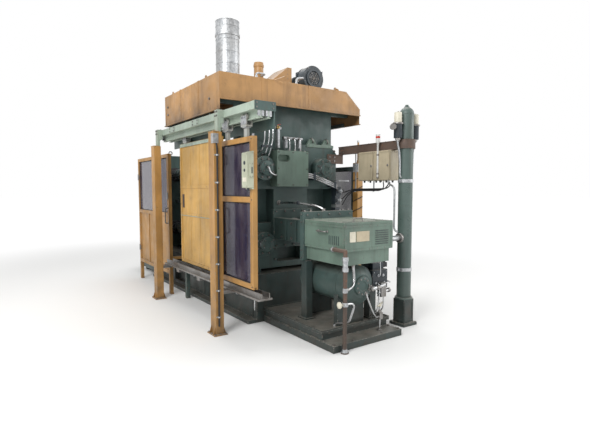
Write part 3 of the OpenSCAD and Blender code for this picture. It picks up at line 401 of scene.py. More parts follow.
class Piece:
    """Solids of one finish, gathered in millimetres into one mesh that rides on one body."""

    def __init__(self, name, mat, body="machine", bevel=1.2, stands_for=None):
        self.name, self.mat, self.body, self.bevel, self.stands_for = name, mat, body, bevel, stands_for
        self.bm = bmesh.new()
        PIECES.append(self)

    def cube(self, place, size):
        bmesh.ops.create_cube(self.bm, size=1, matrix=place @ Matrix.Diagonal((*size, 1)))

    def box(self, low, high):
        low, high = Vector(low), Vector(high)
        size = [abs(v) for v in high - low]
        self.cube(Matrix.Translation((low + high) / 2), size)

    def block(self, at, along, size, lift, twist):
        """A box of a size that stands on a place, with its height along a direction."""
        self.cube(facing(at, along, twist) @ Matrix.Translation((0, 0, lift + size[2] / 2)), size)

    def fins(self, at, along, count, out, size):
        """Boxes set round an axis, like cooling fins or teeth."""
        for i in range(count):
            place = facing(at, along, i * math.tau / count)
            self.cube(place @ Matrix.Translation((out, 0, size[2] / 2)), size)

    def rod(self, a, b, r, r2=None, sides=20):
        a, b = Vector(a), Vector(b)
        place = facing((a + b) / 2, b - a)
        bmesh.ops.create_cone(self.bm, cap_ends=True, segments=sides, radius1=r,
                              radius2=r if r2 is None else r2, depth=(b - a).length, matrix=place)

    def circle(self, place, r, height, sides):
        turns = [i * math.tau / sides for i in range(sides)]
        return [self.bm.verts.new(place @ Vector((r * math.cos(t), r * math.sin(t), height))) for t in turns]

    def skin(self, low, high):
        """Faces between two loops of corners."""
        for i, (a, b) in enumerate(zip(low, high)):
            j = (i + 1) % len(low)
            self.bm.faces.new((a, low[j], high[j], b))

    def lathe(self, at, along, profile, sides):
        """Turns a profile of (radius, height) pairs about an axis."""
        place = facing(at, along)
        rings = [self.circle(place, r, h, sides if r else 1) for r, h in profile]
        for a, b in zip(rings, rings[1:]):
            if len(a) == len(b):
                self.skin(a, b)
                continue
            tip, rim = (a[0], b) if len(a) == 1 else (b[0], a)
            for i in range(sides):
                self.bm.faces.new((rim[i], rim[(i + 1) % sides], tip))
        for rim in (rings[0], rings[-1]):
            if len(rim) > 1:
                self.bm.faces.new(rim)

    def tube(self, points, r, sides, bend):
        """A round bar or pipe along points, with rounded corners unless bend is 0."""
        path = rounded(points, bend) if bend else [Vector(p) for p in points]
        side = (path[1] - path[0]).orthogonal().normalized()
        turns = [i * math.tau / sides for i in range(sides)]
        loops = []
        for i, at in enumerate(path):
            ahead = (path[min(i + 1, len(path) - 1)] - path[max(i - 1, 0)]).normalized()
            side = (side - ahead * side.dot(ahead)).normalized()
            up = ahead.cross(side)
            corners = [at + (side * math.cos(t) + up * math.sin(t)) * r for t in turns]
            loops.append([self.bm.verts.new(corner) for corner in corners])
        for a, b in zip(loops, loops[1:]):
            self.skin(a, b)
        self.bm.faces.new(loops[0])
        self.bm.faces.new(loops[-1])

    def hoop(self, centre, along, radius, r, sides, facets=8):
        """A round bar bent into a ring."""
        place = facing(centre, along)
        turns = [i * math.tau / facets for i in range(facets)]
        loops = []
        for i in range(sides):
            t = i * math.tau / sides
            out = Vector((math.cos(t), math.sin(t), 0))
            corners = [out * (radius + r * math.cos(u)) + Z * r * math.sin(u) for u in turns]
            loops.append([self.bm.verts.new(place @ corner) for corner in corners])
        for a, b in zip(loops, loops[1:] + loops[:1]):
            self.skin(a, b)

    def plate(self, outline, at, along, thick, twist=0.0):
        """A flat outline in its own X and Y, made thick along a direction."""
        place = facing(at, along, twist)
        low, high = ([self.bm.verts.new(place @ Vector((u, v, h))) for u, v in outline] for h in (0, thick))
        self.bm.faces.new(low)
        self.bm.faces.new(high)
        self.skin(low, high)

    def bolts(self, places, along, size):
        """Hex head bolts with washers, sized by their thread."""
        for at in places:
            at = Vector(at)
            self.lathe(at, along, [(size * 1.15, 0), (size * 1.15, size * 0.18)], 16)
            place = at * MM
            twist = (place.x * 7 + place.y * 11 + place.z * 5) % 1
            place = facing(at, along, twist) @ Matrix.Translation((0, 0, size * 0.5))
            bmesh.ops.create_cone(self.bm, cap_ends=True, segments=6, radius1=size * 0.95,
                                  radius2=size * 0.95, depth=size * 0.66, matrix=place)

    def caps(self, places, along, size):
        """Socket head cap screws, sized by their thread."""
        shape = [(0.75, 0), (0.75, 0.9), (0.68, 1), (0.42, 1), (0.42, 0.5), (0, 0.5)]
        for at in places:
            self.lathe(at, along, [(r * size, h * size) for r, h in shape], 12)

    def domes(self, places, along, r):
        """Domed screw or rivet heads."""
        for at in places:
            self.lathe(at, along, [(r, 0), (r * 0.9, r * 0.3), (r * 0.5, r * 0.55), (0, r * 0.62)], 8)

    def frame(self, axis, at, thick, low, high, width):
        """A flat rectangular rim in the plane across one axis."""
        inner_low, inner_high = low[1] + width, high[1] - width
        for a, b in ((low, (high[0], inner_low)), ((low[0], inner_high), high),
                     ((low[0], inner_low), (low[0] + width, inner_high)),
                     ((high[0] - width, inner_low), (high[0], inner_high))):
            self.box(flat(axis, at, *a), flat(axis, at + thick, *b))

    def handle(self, a, b, along, reach, r):
        """A bar handle with a foot at each end."""
        a, b, out = Vector(a), Vector(b), Vector(along) * reach
        self.tube([a, a + out, b + out, b], r, 12, r * 3)
        for at in (a, b):
            self.lathe(at, along, [(r * 2, 0), (r * 2, 3), (r * 1.2, 6)], 16)

    def finish(self):
        """Makes the object, in metres, and hands it to its body."""
        mesh = bpy.data.meshes.new(self.name)
        bmesh.ops.scale(self.bm, vec=(MM, MM, MM), verts=self.bm.verts)
        bmesh.ops.recalc_face_normals(self.bm, faces=self.bm.faces)
        for face in self.bm.faces:
            face.smooth = True
        for edge in self.bm.edges:
            edge.smooth = edge.calc_face_angle(0) < SMOOTH_BELOW
        self.bm.to_mesh(mesh)
        self.bm.free()
        obj = add(self.name, mesh)
        mesh.materials.append(self.mat)
        soften(obj, self.bevel)
        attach(obj, self.body)
        if self.stands_for:
            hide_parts(self.stands_for)


# Hood, duct and the things on the roof

# The rolled lips stand out from the hood's sheets by this much
LIP = 18
(HOOD_X0, _, HOOD_SIDE), (HOOD_X1, HOOD_L, HOOD_TOP) = box_of("hood")
HOOD_X0, HOOD_X1, HOOD_FRONT = HOOD_X0 + LIP, HOOD_X1 - LIP, HOOD_SIDE + 110
HIP_X, HIP_Z = HOOD_X1 - 240, HOOD_TOP - 200
HOOD_STRAPS_X, HOOD_STRAPS_Y = (-460, 200), (570, 1130)
STRAP_THICK, STRAP_HALF = 3, 18


def hood_trim():
    trim = Piece("hood_trim", HOOD)
    # rolled lips along the lower edges
    trim.rod((HOOD_X0, -12, HOOD_FRONT + 6), (HOOD_X1, -12, HOOD_FRONT + 6), 6, sides=12)
    for x in (HOOD_X0 - 12, HOOD_X1 + 12):
        trim.rod((x, 0, HOOD_SIDE + 6), (x, HOOD_L, HOOD_SIDE + 6), 6, sides=12)
    # straps over the sheet joints
    t, w = STRAP_THICK, STRAP_HALF
    for x in HOOD_STRAPS_X:
        trim.box((x - w, -t, HOOD_FRONT + 12), (x + w, 0, HOOD_TOP))
        trim.box((x - w, HOOD_L, HOOD_SIDE), (x + w, HOOD_L + t, HOOD_TOP))
    for y in HOOD_STRAPS_Y:
        trim.box((HOOD_X0 - t, y - w, HOOD_SIDE + 12), (HOOD_X0, y + w, HOOD_TOP + t))
        trim.box((HOOD_X0 - t, y - w, HOOD_TOP), (HIP_X, y + w, HOOD_TOP + t))
        trim.box((HOOD_X1, y - w, HOOD_SIDE + 12), (HOOD_X1 + t, y + w, HIP_Z))
        slope = Vector((HOOD_X1 - HIP_X, HOOD_TOP - HIP_Z))
        middle = Matrix.Translation(((HIP_X + HOOD_X1) / 2, y, (HOOD_TOP + HIP_Z) / 2))
        turned = Matrix.Rotation(math.atan2(slope.y, slope.x), 4, "Y")
        trim.cube(middle @ turned, (slope.length, 2 * w, 2 * t))
    # corner angles
    for x, s, z in ((HOOD_X0, -1, HOOD_TOP), (HOOD_X1, 1, HIP_Z)):
        for y, d, low in ((0, -1, HOOD_FRONT + 12), (HOOD_L, 1, HOOD_SIDE)):
            trim.box((x - s * 30, y, low), (x, y + d * t, z - 2))
            trim.box((x, y - d * 30, low), (x + s * t, y, z - 2))
    # lifting lugs on the roof
    ear = [(-50, 0), (50, 0), (45, 40), (28, 68), (0, 78), (-28, 68), (-45, 40)]
    for x, y in ((-930, 500), (-930, 1580), (700, 120), (700, 1580)):
        trim.plate(ear, (x - 5, y, HOOD_TOP), X, 10, math.pi / 2)
        trim.box((x - 30, y - 60, HOOD_TOP), (x + 30, y + 60, HOOD_TOP + 6))
        trim.hoop((x, y, HOOD_TOP + 45), X, 17, 6, 20, 6)


def hood_fastenings():
    rivets = Piece("hood_rivets", HOOD, bevel=0)
    for y, out, low in ((0, -Y, 2540), (HOOD_L, Y, 2430)):
        rivets.domes(row((HOOD_X0 + 50, y, 2775), (HIP_X - 20, y, 2775), 27), out, 5.5)
        rivets.domes(row((HOOD_X0 + 50, y, low), (HOOD_X1 - 40, y, low), 30), out, 5.5)
    for x, out, high in ((HOOD_X0, -X, 2775), (HOOD_X1, X, 2575)):
        for z in (high, 2435):
            rivets.domes(row((x, 50, z), (x, HOOD_L - 50, z), 24), out, 5.5)
    for x in HOOD_STRAPS_X:
        rivets.domes(row((x, -STRAP_THICK, 2580), (x, -STRAP_THICK, 2750), 4), -Y, 5)
        back = HOOD_L + STRAP_THICK
        rivets.domes(row((x, back, 2470), (x, back, 2740), 5), Y, 5)
    for y in HOOD_STRAPS_Y:
        side, top = HOOD_X0 - STRAP_THICK, HOOD_TOP + STRAP_THICK
        rivets.domes(row((side, y, 2480), (side, y, 2740), 5), -X, 5)
        rivets.domes(row((HOOD_X0 + 60, y, top), (HIP_X - 30, y, top), 22), Z, 5)
    bolts = Piece("hood_bolts", BOLT)
    bolts.bolts(grid(HOOD_X0, (260, 1590), 2550) + [(HOOD_X0, 1590, 2650)], -X, 14)
    bolts.bolts(grid(HOOD_X1, (260, 1590), 2550), X, 14)


def hood_gutter():
    """Channels inside, along the lower edges."""
    gutter = Piece("hood_gutter", DARK_GREEN)
    gutter.box((HOOD_X0 + 4, 300, HOOD_SIDE), (HOOD_X0 + 30, 1550, HOOD_SIDE + 50))
    gutter.box((HOOD_X1 - 30, 300, HOOD_SIDE), (HOOD_X1 - 4, 1550, HOOD_SIDE + 50))
    gutter.box((HOOD_X0 + 50, HOOD_L - 30, HOOD_SIDE), (HOOD_X1 - 50, HOOD_L - 4, HOOD_SIDE + 50))


def duct_trim():
    x, y, _ = centre_of("exhaust_duct")
    r, foot, band, seam, band_turn = 130, HOOD_TOP + 15, 3245, math.radians(236), math.radians(255)
    trim = Piece("duct_trim", ZINC)
    for z in (2930, 3060, 3190, 3335):
        trim.hoop((x, y, z), Z, r, 3.5, 56)
    trim.hoop((x, y, 3395.5), Z, r - 1, 4.2, 56)
    trim.block(ring((x, y, foot), Z, r + 1, 1, seam)[0], Z, (16, 5, 580), 0, seam + math.pi / 2)
    # the band clamp's ears
    ear = ring((x, y, band), Z, r + 22, 1, band_turn)[0]
    for side in SIDES:
        trim.block(ear, Z, (5, 34, 30), -15, band_turn + math.radians(side * 4))
    trim.lathe((x, y, foot), Z, [(r + 12, 0), (r + 4, 14), (r, 18)], 56)
    bolts = Piece("duct_bolts", BOLT)
    bolts.bolts(ring((x, y, foot), Z, 151, 12, 0.2), Z, 9)
    at = ring((x, y, band), Z, r + 26, 1, band_turn)[0]
    way = Vector((-math.sin(band_turn), math.cos(band_turn), 0))
    bolts.bolts([at + way * 14], way, 7)
    bolts.rod(at - way * 24, at + way * 14, 3.5, sides=8)


def inlet_trim():
    trim = Piece("inlet_trim", HOOD)
    x, y, top = -400, 200, HOOD_TOP + 165
    trim.lathe((x, y, HOOD_TOP), Z, [(88, 0), (88, 10), (62, 14), (56, 30)], 40)
    trim.lathe((x, y, top), Z, [(55.1, 0), (61, 6), (61, 30), (55.1, 36)], 40)
    # frame around the sloped box and its cover strip
    for low in (85, 400):
        trim.box((-330, low, HOOD_TOP), (15, low + 15, HOOD_TOP + 18))
    trim.box((0, 100, HOOD_TOP), (15, 400, HOOD_TOP + 18))
    rise = math.atan2(200, 240)
    for edge in (110, 390):
        trim.plate([(0, -12), (310, -12), (310, 12), (0, 12)], (-300, edge, HOOD_TOP),
                   (-math.sin(rise), 0, math.cos(rise)), 3)
    rivets = Piece("inlet_rivets", BOLT, bevel=0)
    rivets.bolts(ring((x, y, HOOD_TOP + 10), Z, 75, 6), Z, 6)
    rivets.domes(row((-60, 100, 2820), (-60, 100, 2970), 4), -Y, 5)
    rivets.domes(row((-240, 100, 2825), (-20, 100, 2825), 5), -Y, 5)
    for z in (2840, 2970):
        rivets.domes(row((0, 130, z), (0, 370, z), 4), X, 5)


def roof_fittings():
    fittings = Piece("roof_fittings", ZINC)
    fittings.tube([(-520, 50, HOOD_TOP), (-520, 50, 2860), (-400, 50, 2860), (-400, 120, 2860),
                   (-400, 145, 2860)], 11, 12, 30)
    fittings.tube([(40, 60, HOOD_TOP), (40, 60, 2875), (160, 60, 2900), (160, 230, 2900)], 12, 12, 40)
    for at in ((-520, 50, HOOD_TOP), (40, 60, HOOD_TOP)):
        fittings.lathe(at, Z, [(26, 0), (26, 6), (17, 8), (17, 26), (12, 30)], 24)
    fittings.lathe((160, 190, 2900), Y, [(12, 0), (20, 3), (20, 35), (12, 38)], 6)


def fan():
    """A scroll fan with its flanged motor, on a plate and feet."""
    low, high = box_of("hood_fan")
    x, z, y0, y1 = (low[0] + high[0]) / 2, high[2] - 158, low[1] + 20, low[1] + 190
    top = HOOD_TOP + 12
    scroll = Piece("fan_scroll", DARK, stands_for="hood_fan")
    # a spiral that grows from 118 to 160, and the mouth's two corners, kept inside the node's box
    spiral = [(118 + 42 * i / 40, math.radians(200 - i * 7.4)) for i in range(40)]
    outline = [(r * math.cos(t), r * math.sin(t)) for r, t in spiral] + [(-150, 20), (-150, -110)]
    outline = [(max(-159, min(159, u)), max(-158, min(157, v))) for u, v in outline]
    scroll.plate(outline, (x, y1 - 12, z), -Y, 148, math.pi)
    for y in (y0 + 6, y1 - 4):
        scroll.lathe((x, y, z), -Y, [(159, 0), (159, 6)], 64)
    scroll.lathe((x, y0 + 6, z), -Y, [(115, 0), (115, 20), (90, 20), (82, 6), (82, 0)], 48)
    scroll.box((300, low[1], HOOD_TOP), (600, high[1], top))
    for y in (270, 385):
        scroll.plate([(-120, 0), (120, 0), (90, 50), (-90, 50)], (x, y, top), Y, 8)
    for y in (500, 600):
        scroll.box((x - 75, y, top), (x + 75, y + 40, top + 12))
        for at in (x - 50, x + 30):
            scroll.box((at, y + 8, top + 8), (at + 20, y + 32, top + 93))
    # motor body, fins and fan cowl
    scroll.lathe((x, y1, z), Y, [(120, 0), (120, 12), (70, 20), (78, 30), (78, 200),
                                 (85, 205), (94.5, 208), (94.5, 262), (82, 280), (30, 280), (0, 276)], 40)
    scroll.fins((x, y1 + 34.5, z), Y, 36, 82, (20, 3, 165))
    scroll.box((x - 45, 490, z + 85), (x + 45, 590, z + 135))
    bolts = Piece("fan_bolts", BOLT)
    bolts.bolts(ring((x, y0, z), -Y, 148, 10, 0.3), -Y, 5)
    bolts.bolts(ring((x, y1 + 12, z), Y, 107, 6, 0.5), Y, 8)
    bolts.caps(around(2, z + 135, (x - 36, 499), (x + 36, 581), (2, 2)), Z, 5)
    bolts.bolts(grid((x - 64, x + 64), (520, 620), top + 12), Z, 8)
    bolts.bolts(grid((320, 580), (250, 700), top), Z, 10)
    for r in (20, 45, 70):
        bolts.hoop((x, y0 - 12, z), Y, r, 2.5, 32, 6)
    hub = Vector((x, y0 - 13.5, z))
    for i in range(3):
        way = Vector((math.cos(i * math.pi / 3), 0, math.sin(i * math.pi / 3))) * 88
        bolts.rod(hub - way, hub + way, 2.5, sides=6)
    for k in range(11):
        bolts.hoop((x, y1 + 281, z), Y, 12 + k * 6, 1.2, 32, 4)
    bolts.rod((x, y0 - 4, z), (x, y0 + 20, z), 22, 30)


hood_trim()
hood_fastenings()
hood_gutter()
duct_trim()
inlet_trim()
roof_fittings()
fan()


# Posts, guards and their windows

GUARD_HALF = 25
GUARD_X = box_of("toggle_guards")[1].x - GUARD_HALF
FAR_FACE = box_of("far_guard")[1].x
FAR_POST = (FAR_FACE - GUARD_HALF, -5)


def glazing(tag, x, y, z, mat, body="machine"):
    """Gaskets, beads and screws on both sides of a pane that stands across X."""
    lap, pitch = 12, 160
    gasket = Piece(tag + "_gasket", RUBBER, body)
    beads = Piece(tag + "_beads", mat, body)
    screws = Piece(tag + "_screws", BOLT, body, bevel=0)
    for side in SIDES:
        gasket.frame(0, x + side * 3.2, side * 6, (y[0], z[0]), (y[1], z[1]), 10)
        face = x + side * (GUARD_HALF - 0.5)
        beads.frame(0, face, side * 3.5, (y[0] - lap, z[0] - lap), (y[1] + lap, z[1] + lap), 15)
        counts = [max(3, round((high - low) / pitch)) for low, high in (y, z)]
        places = around(0, face + side * 3, (y[0] - 4, z[0] - 4), (y[1] + 4, z[1] + 4), counts)
        screws.domes(places, X * side, 4)


def post_fixings():
    plates = Piece("post_plates", ORANGE)
    gussets = Piece("post_arm_gussets", RAIL_GREEN)
    bolts = Piece("post_bolts", BOLT)
    ramp = [(0, 0), (28, 0), (0, 85)]
    for y in (-155, 1760):
        plates.box((-1153, y - 3, 2140), (-1090.5, y + 133, 2146))
        for at in (y + 22, y + 100):
            gussets.box((-1055.5, at, 2230), (-1022, at + 8, 2290))
        for at in (y + 20, y + 110):
            plates.plate(ramp, (-1055, at + 4, 12), -Y, 8)
            plates.plate([(-u, v) for u, v in ramp][::-1], (-1150, at + 4, 12), -Y, 8)
        bolts.bolts(grid((-1165, -1040), (y + 65, y - 14, y + 144), 12), Z, 10)
        bolts.bolts(grid(-1102, (y - 15, y + 145), 12), Z, 10)
        bolts.bolts(grid(-1090, (y + 45, y + 85), (2310, 2350)), -X, 10)
        bolts.bolts(grid(-1037, (y + 45, y + 85), 2370), Z, 8)
    for y in (-53, 1757):
        plates.box((957, y, 1890), (1053, y + 96, 1896))
    for y in (-50, 1760):
        for at in (y + 20, y + 70):
            plates.plate([(-u, v) for u, v in ramp][::-1], (960, at + 4, 12), -Y, 8)
            plates.plate([(u * 0.95, v) for u, v in ramp], (1050, at + 4, 12), -Y, 8)
        bolts.bolts(grid((944, 1066), (y - 14, y + 45, y + 104), 12), Z, 10)
    x, y = FAR_POST
    plates.lathe((x, y, 1896), Z, [(30, 0), (30, 6), (18, 10), (16, 35), (12, 40)], 28)


def far_post_trim():
    """A sleeve joint and a cable wound round the post."""
    x, y = FAR_POST
    sleeve = Piece("far_post_sleeve", ZINC)
    for low, high in (((956, -54), (1054, -50)), ((956, 40), (1054, 44)),
                      ((956, -50), (960, 40)), ((1050, -50), (1054, 40))):
        sleeve.box((*low, 1775), (*high, 1885))
    sleeve.lathe((x, y, 2186), Z, [(12, -20), (13.5, -20), (13.5, 4), (0, 4)], 20)
    sleeve.domes(grid((980, 1030), -54, (1800, 1860)), -Y, 5)
    conduit = Piece("far_post_conduit", RUBBER, bevel=0)
    turns, steps, low, high = 5, 20, 1060, 1740
    path = []
    for i in range(turns * steps + 1):
        u, v = math.cos(i / steps * math.tau), math.sin(i / steps * math.tau)
        # out along the square post's sides, with rounded corners
        reach = min(51.5 / max(abs(u), abs(v)) ** 0.82, 64)
        path.append((x + u * reach, y + v * reach, low + (high - low) * i / (turns * steps)))
    conduit.tube(path, 5.5, 8, 0)
    glands = Piece("far_post_glands", STEEL)
    for z in (low, high):
        glands.box((1050, -22, z - 20), (1069.5, 12, z + 20))
        glands.caps(grid(1069.5, y, (z - 12, z + 12)), X, 4)


def near_post_trim():
    """A conduit clipped to the front post."""
    x, y = -1118, -169
    conduit = Piece("near_post_conduit", RUBBER, bevel=0)
    conduit.tube([(x, y, 100), (x, y, 1980), (x, y + 19, 2020)], 9.5, 12, 30)
    clips = Piece("near_post_clips", ZINC)
    for i in range(7):
        z = 200 + i * 1700 / 6
        clips.lathe((x, y, z), Z, [(12.5, -8), (12.5, 8)], 20)
        clips.box((x - 24, y + 10, z - 8), (x + 24, y + 14, z + 8))
        clips.domes(grid((x - 19, x + 19), y + 10, z), -Y, 4)
    clips.box((-1152, -162, 2020), (-1098, -155, 2120))
    clips.box((-1157, -162, 2020), (-1150, -105, 2120))
    clips.bolts(grid(-1125, -162, (2045, 2095)), -Y, 7)


def guard_details():
    glazing("toggle_guard_near", -GUARD_X, (2000, 3400), (1200, 2010), ORANGE)
    glazing("toggle_guard_far", GUARD_X, (2000, 3400), (1200, 2010), ORANGE)
    glazing("far_guard", FAR_POST[0], (90, 1710), (1200, 1800), DARK_GREEN)
    plates = Piece("guard_plates", ORANGE)
    bolts = Piece("guard_bolts", BOLT)
    handles = Piece("guard_handles", STEEL)
    for s in SIDES:
        x, face = s * GUARD_X, s * (GUARD_X + GUARD_HALF)
        for y in (1950, 3400):
            plates.box((x - 24, y - 14, 0), (x + 25 - s, y + 44, 10))
            bolts.bolts([(x, y - 6, 10)], Z, 6)
            bolts.bolts([(s * 660, y + 25, 550)], Z, 10)
        for y in (2450, 2950):
            plates.box((x + s * 3, y - 12, 350), (x + s * 14, y + 12, 1150))
            plates.box((x - s * 13, y - 12, 350), (x - s * 3, y + 12, 1150))
        bolts.domes(around(0, x + s * 3.5, (2015, 365), (3385, 1135), (10, 6)), X * s, 5.5)
        for z in (550, 1750):
            handles.rod((face + s * 6, 3425, z - 50), (face + s * 6, 3425, z + 50), 9, sides=14)
            handles.box((face, 3385, z - 35), (face + s * 4, 3440, z + 35))
        handles.handle((face, 1975, 1050), (face, 1975, 1270), X * s, 45, 8)
        handles.box((face, 1958, 1400), (face + s * 14, 1992, 1500))
    for y in (600, 1170):
        plates.box((978, y, 350), (1001, y + 30, 1150))
    bolts.domes(around(0, 1009, (105, 365), (1695, 1135), (11, 6)), X, 5.5)
    bolts.bolts(grid(FAR_FACE, (65, 1735), (360, 750, 1170, 1500, 1800)), X, 8)
    handles.handle((FAR_FACE, 900, 760), (FAR_FACE, 1100, 760), X, 42, 8)


post_fixings()
far_post_trim()
near_post_trim()
guard_details()


# Door rail, trolleys and the two leaves

(RAIL_X0, RAIL_Y0, _), (RAIL_X1, RAIL_Y1, RAIL_TOP) = box_of("door_rail")
TRACKS = (centre_of("window_door").x, centre_of("sheet_door").x)
HANGERS = (300, 1020, 1600)


def rail_trim():
    # the plates over both rail ends are painted in the machine's dark green as painted shade on the end
    # faces
    shade_ends = Piece("rail_end_plates_painted_shade", GREEN)
    for y, end in ((RAIL_Y0, RAIL_Y0 - 6), (RAIL_Y1, RAIL_Y1 + 6)):
        shade_ends.box((RAIL_X0 - 2, y, 2285), (-788, end, RAIL_TOP + 2))
        shade_ends.box((RAIL_X1 - 8, y, 2122), (RAIL_X1, end, 2285))
    trim = Piece("rail_trim", RAIL_GREEN)
    # splice plates, stiffeners on the fascia's back and hanger brackets on top
    for y in (520, 1300):
        trim.box((RAIL_X0 - 6, y, 2298), (RAIL_X0, y + 200, 2362))
    for y in (-600, -120, 400, 900, 1400, 1780):
        trim.box((RAIL_X1, y - 4, 2130), (RAIL_X1 + 8, y + 4, 2285))
    for y in HANGERS:
        trim.box((-990, y - 50, RAIL_TOP), (-830, y + 50, RAIL_TOP + 8))
        trim.box((-985, y - 6, RAIL_TOP), (-900, y + 6, RAIL_TOP + 25))
    bolts = Piece("rail_bolts", BOLT)
    bolts.bolts(grid(RAIL_X0 - 6, (550, 690, 1330, 1470), (2312, 2348)), -X, 9)
    for y, out in ((RAIL_Y0 - 6, -Y), (RAIL_Y1 + 6, Y)):
        bolts.bolts(grid((-1000, -820), y, (2310, 2350)), out, 8)
    for z, count in ((2260, 18), (2145, 12)):
        bolts.domes(row((RAIL_X1 - 8, -700, z), (RAIL_X1 - 8, 1840, z), count), -X, 6)
    for y in HANGERS:
        bolts.bolts(grid((-975, -845), (y - 30, y + 30), RAIL_TOP + 8), Z, 8)
    stops = Piece("rail_stops", RUBBER)
    blocks = Piece("rail_stop_blocks", ZINC)
    for x, (y, out) in itertools.product(TRACKS, ((RAIL_Y0 + 10, Y), (RAIL_Y1 - 10, -Y))):
        for at in (x - 20, x + 20):
            stops.lathe((at, y, 2250), out, [(12, 0), (12, 12), (9, 20), (4, 22)], 16)
            blocks.box((at - 14, y, 2232), (at + 14, y - out.y * 10, 2290))


def trolley_trim(name, x, y, body, inner):
    """Axle nuts, cover plates and a hanger over one trolley's cheeks, kept flat towards the other track."""
    trim = Piece(name, ZINC, body, bevel=0.8)
    for s in SIDES:
        face = x + s * 36
        trim.box((face - s * 4, y - 56, 2180), (face, y + 56, 2262))
        if s == inner:
            trim.domes(grid(face, (y - 30, y + 30), (2195, 2250)), X * s, 4.5)
            continue
        for at in (y - 30, y + 30):
            trim.lathe((face, at, 2250), X * s, [(12, 0), (12, 4), (8, 4), (8, 11), (4, 13)], 6)
        trim.bolts([(face, y, 2205)], X * s, 7)
        trim.bolts(grid(face, (y - 42, y + 42), 2190), X * s, 5)
    trim.box((x - 30, y - 36, 2150), (x + 30, y + 36, 2158))
    trim.lathe((x, y, 2158), Z, [(20, 0), (20, 8), (11, 8), (11, 15.5)], 6)


def window_leaf():
    (_, y0, _), (_, y1, _) = box_of("window_door")
    x0, body = TRACKS[0] - GUARD_HALF, "window_leaf"
    for tag, z in (("window_lower", (610, 1420)), ("window_upper", (1470, 2010))):
        glazing(tag, TRACKS[0], (y0 + 50, y1 - 50), z, ORANGE, body)
    screws = Piece("window_screws", BOLT, body)
    screws.caps(grid(x0, (y0 + 25, y1 - 25), (585, 1445, 2035)), -X, 8)
    handle = Piece("window_handle", GROUND, body)
    handle.handle((x0, y1 - 26, 1060), (x0, y1 - 26, 1340), -X, 55, 10)
    handle.tube([(x0, y1 - 20, 1815), (x0 - 32, y1 - 20, 1815), (x0 - 36, y1 - 20, 1840),
                 (x0 - 36, y1 - 20, 1900), (x0 - 20, y1 - 20, 1925), (x0, y1 - 20, 1925)], 8, 12, 16)


def switch_box():
    (x0, y0, z0), (x1, y1, z1) = box_of("door_switch_box")
    front, y, body = x0 - 4, (y0 + y1) / 2, "window_leaf"
    lid = Piece("switch_box_lid", PALE_GREEN, body, bevel=1.5)
    lid.box((front, y0 + 4, z0 + 6), (x0, y1 - 4, z1 - 6))
    for z in (z0 - 12, z1 - 2):
        lid.box((x1 - 20, y0 - 6, z), (x1 - 2, y1 + 8, z + 14))
    lid.box((x0 + 12, y0 - 9, 1660), (x1 - 12, y0, 1800))
    screws = Piece("switch_box_screws", BOLT, body)
    screws.domes(grid(front, (y0 + 14, y1 - 14), (z0 + 18, z1 - 18)), -X, 5)
    screws.caps(grid((x0 + 20, x1 - 20), y0 - 9, (1670, 1790)), -Y, 4)
    screws.bolts(grid(x1 - 10, y1 + 4, (z0 - 5, z1 + 5)), -X, 6)
    parts = Piece("switch_box_parts", DARK, body, bevel=0.6)
    parts.lathe((x0 + 32, y, z0), -Z, [(13, 0), (13, 10), (11.5, 12), (11.5, 24), (7, 30), (7, 40)], 6)
    for z, r, sides in ((1800, 19, 28), (1730, 16, 24)):
        parts.lathe((front, y, z), -X, [(r, 0), (r, 2), (r - 6, 3), (r - 6, 5), (0, 5.5)], sides)
    parts.box((x0 + 35, y0 - 12, 1700), (x0 + 45, y0 - 2, 1760))
    label = Piece("switch_box_plate", PLATE, body, bevel=0)
    label.box((front - 1.2, y - 35, 1620), (front, y + 35, 1660))


def sheet_leaf():
    (_, y0, z0), (_, y1, _) = box_of("sheet_door")
    x0, x1, z1 = TRACKS[1] - 20, TRACKS[1] + 20, z0 + 1590
    skin, body = x0 + 8, "sheet_leaf"
    folds = Piece("sheet_door_folds", YELLOW, body)
    for y in (y0 + 330, y0 + 620, y0 + 920):
        for low, high in ((z0 + 55, 1185), (1605, z1 - 55)):
            folds.box((skin - 3, y - 12, low), (skin, y + 12, high))
    folds.frame(0, x0, -3, (y0 + 4, z0 + 4), (y1 - 4, z1 - 4), 30)
    for z in (1160, 1700):
        folds.box((x1, y0 + 20, z), (x1 + 10, y1 - 20, z + 40))
    strip = Piece("sheet_door_strip", RAIL_GREEN, body)
    strip.box((x0 - 5, y0 + 10, z1 - 45), (x0 + 1, y1 - 10, z1 - 4))
    strip.box((x0 - 5, y0, 1192), (x0, y1, 1200))
    screws = Piece("sheet_door_screws", BOLT, body)
    screws.domes(around(0, x0 - 3, (y0 + 20, z0 + 20), (y1 - 20, z1 - 20), (8, 9)), -X, 6)
    for z in (1210, 1580):
        screws.domes(row((x0 - 2, y0 + 60, z), (x0 - 2, y1 - 60, z), 8), -X, 5)
    for z in (1180, 1720):
        screws.domes(row((x1 + 10, y0 + 80, z), (x1 + 10, y1 - 80, z), 7), X, 5)
    pulls = Piece("sheet_door_pulls", BROWN, body)
    cups = Piece("sheet_door_cups", DARK, body)
    for y in (y0 + 90, y1 - 90):
        pulls.frame(0, skin, -7, (y - 28, 1300), (y + 28, 1480), 9)
        pulls.rod((skin - 4, y + 12, 1309), (skin - 4, y + 12, 1471), 4, sides=10)
        cups.box((skin - 1, y - 20, 1308), (skin + 2, y + 20, 1472))


rail_trim()
trolley_trim("trolley_trim_a1", TRACKS[0], -490, "window_leaf", 1)
trolley_trim("trolley_trim_a0", TRACKS[0], -80, "window_leaf", 1)
trolley_trim("trolley_trim_b0", TRACKS[1], 440, "sheet_leaf", -1)
trolley_trim("trolley_trim_b1", TRACKS[1], 1290, "sheet_leaf", -1)
window_leaf()
switch_box()
sheet_leaf()


# The fixed platen's face

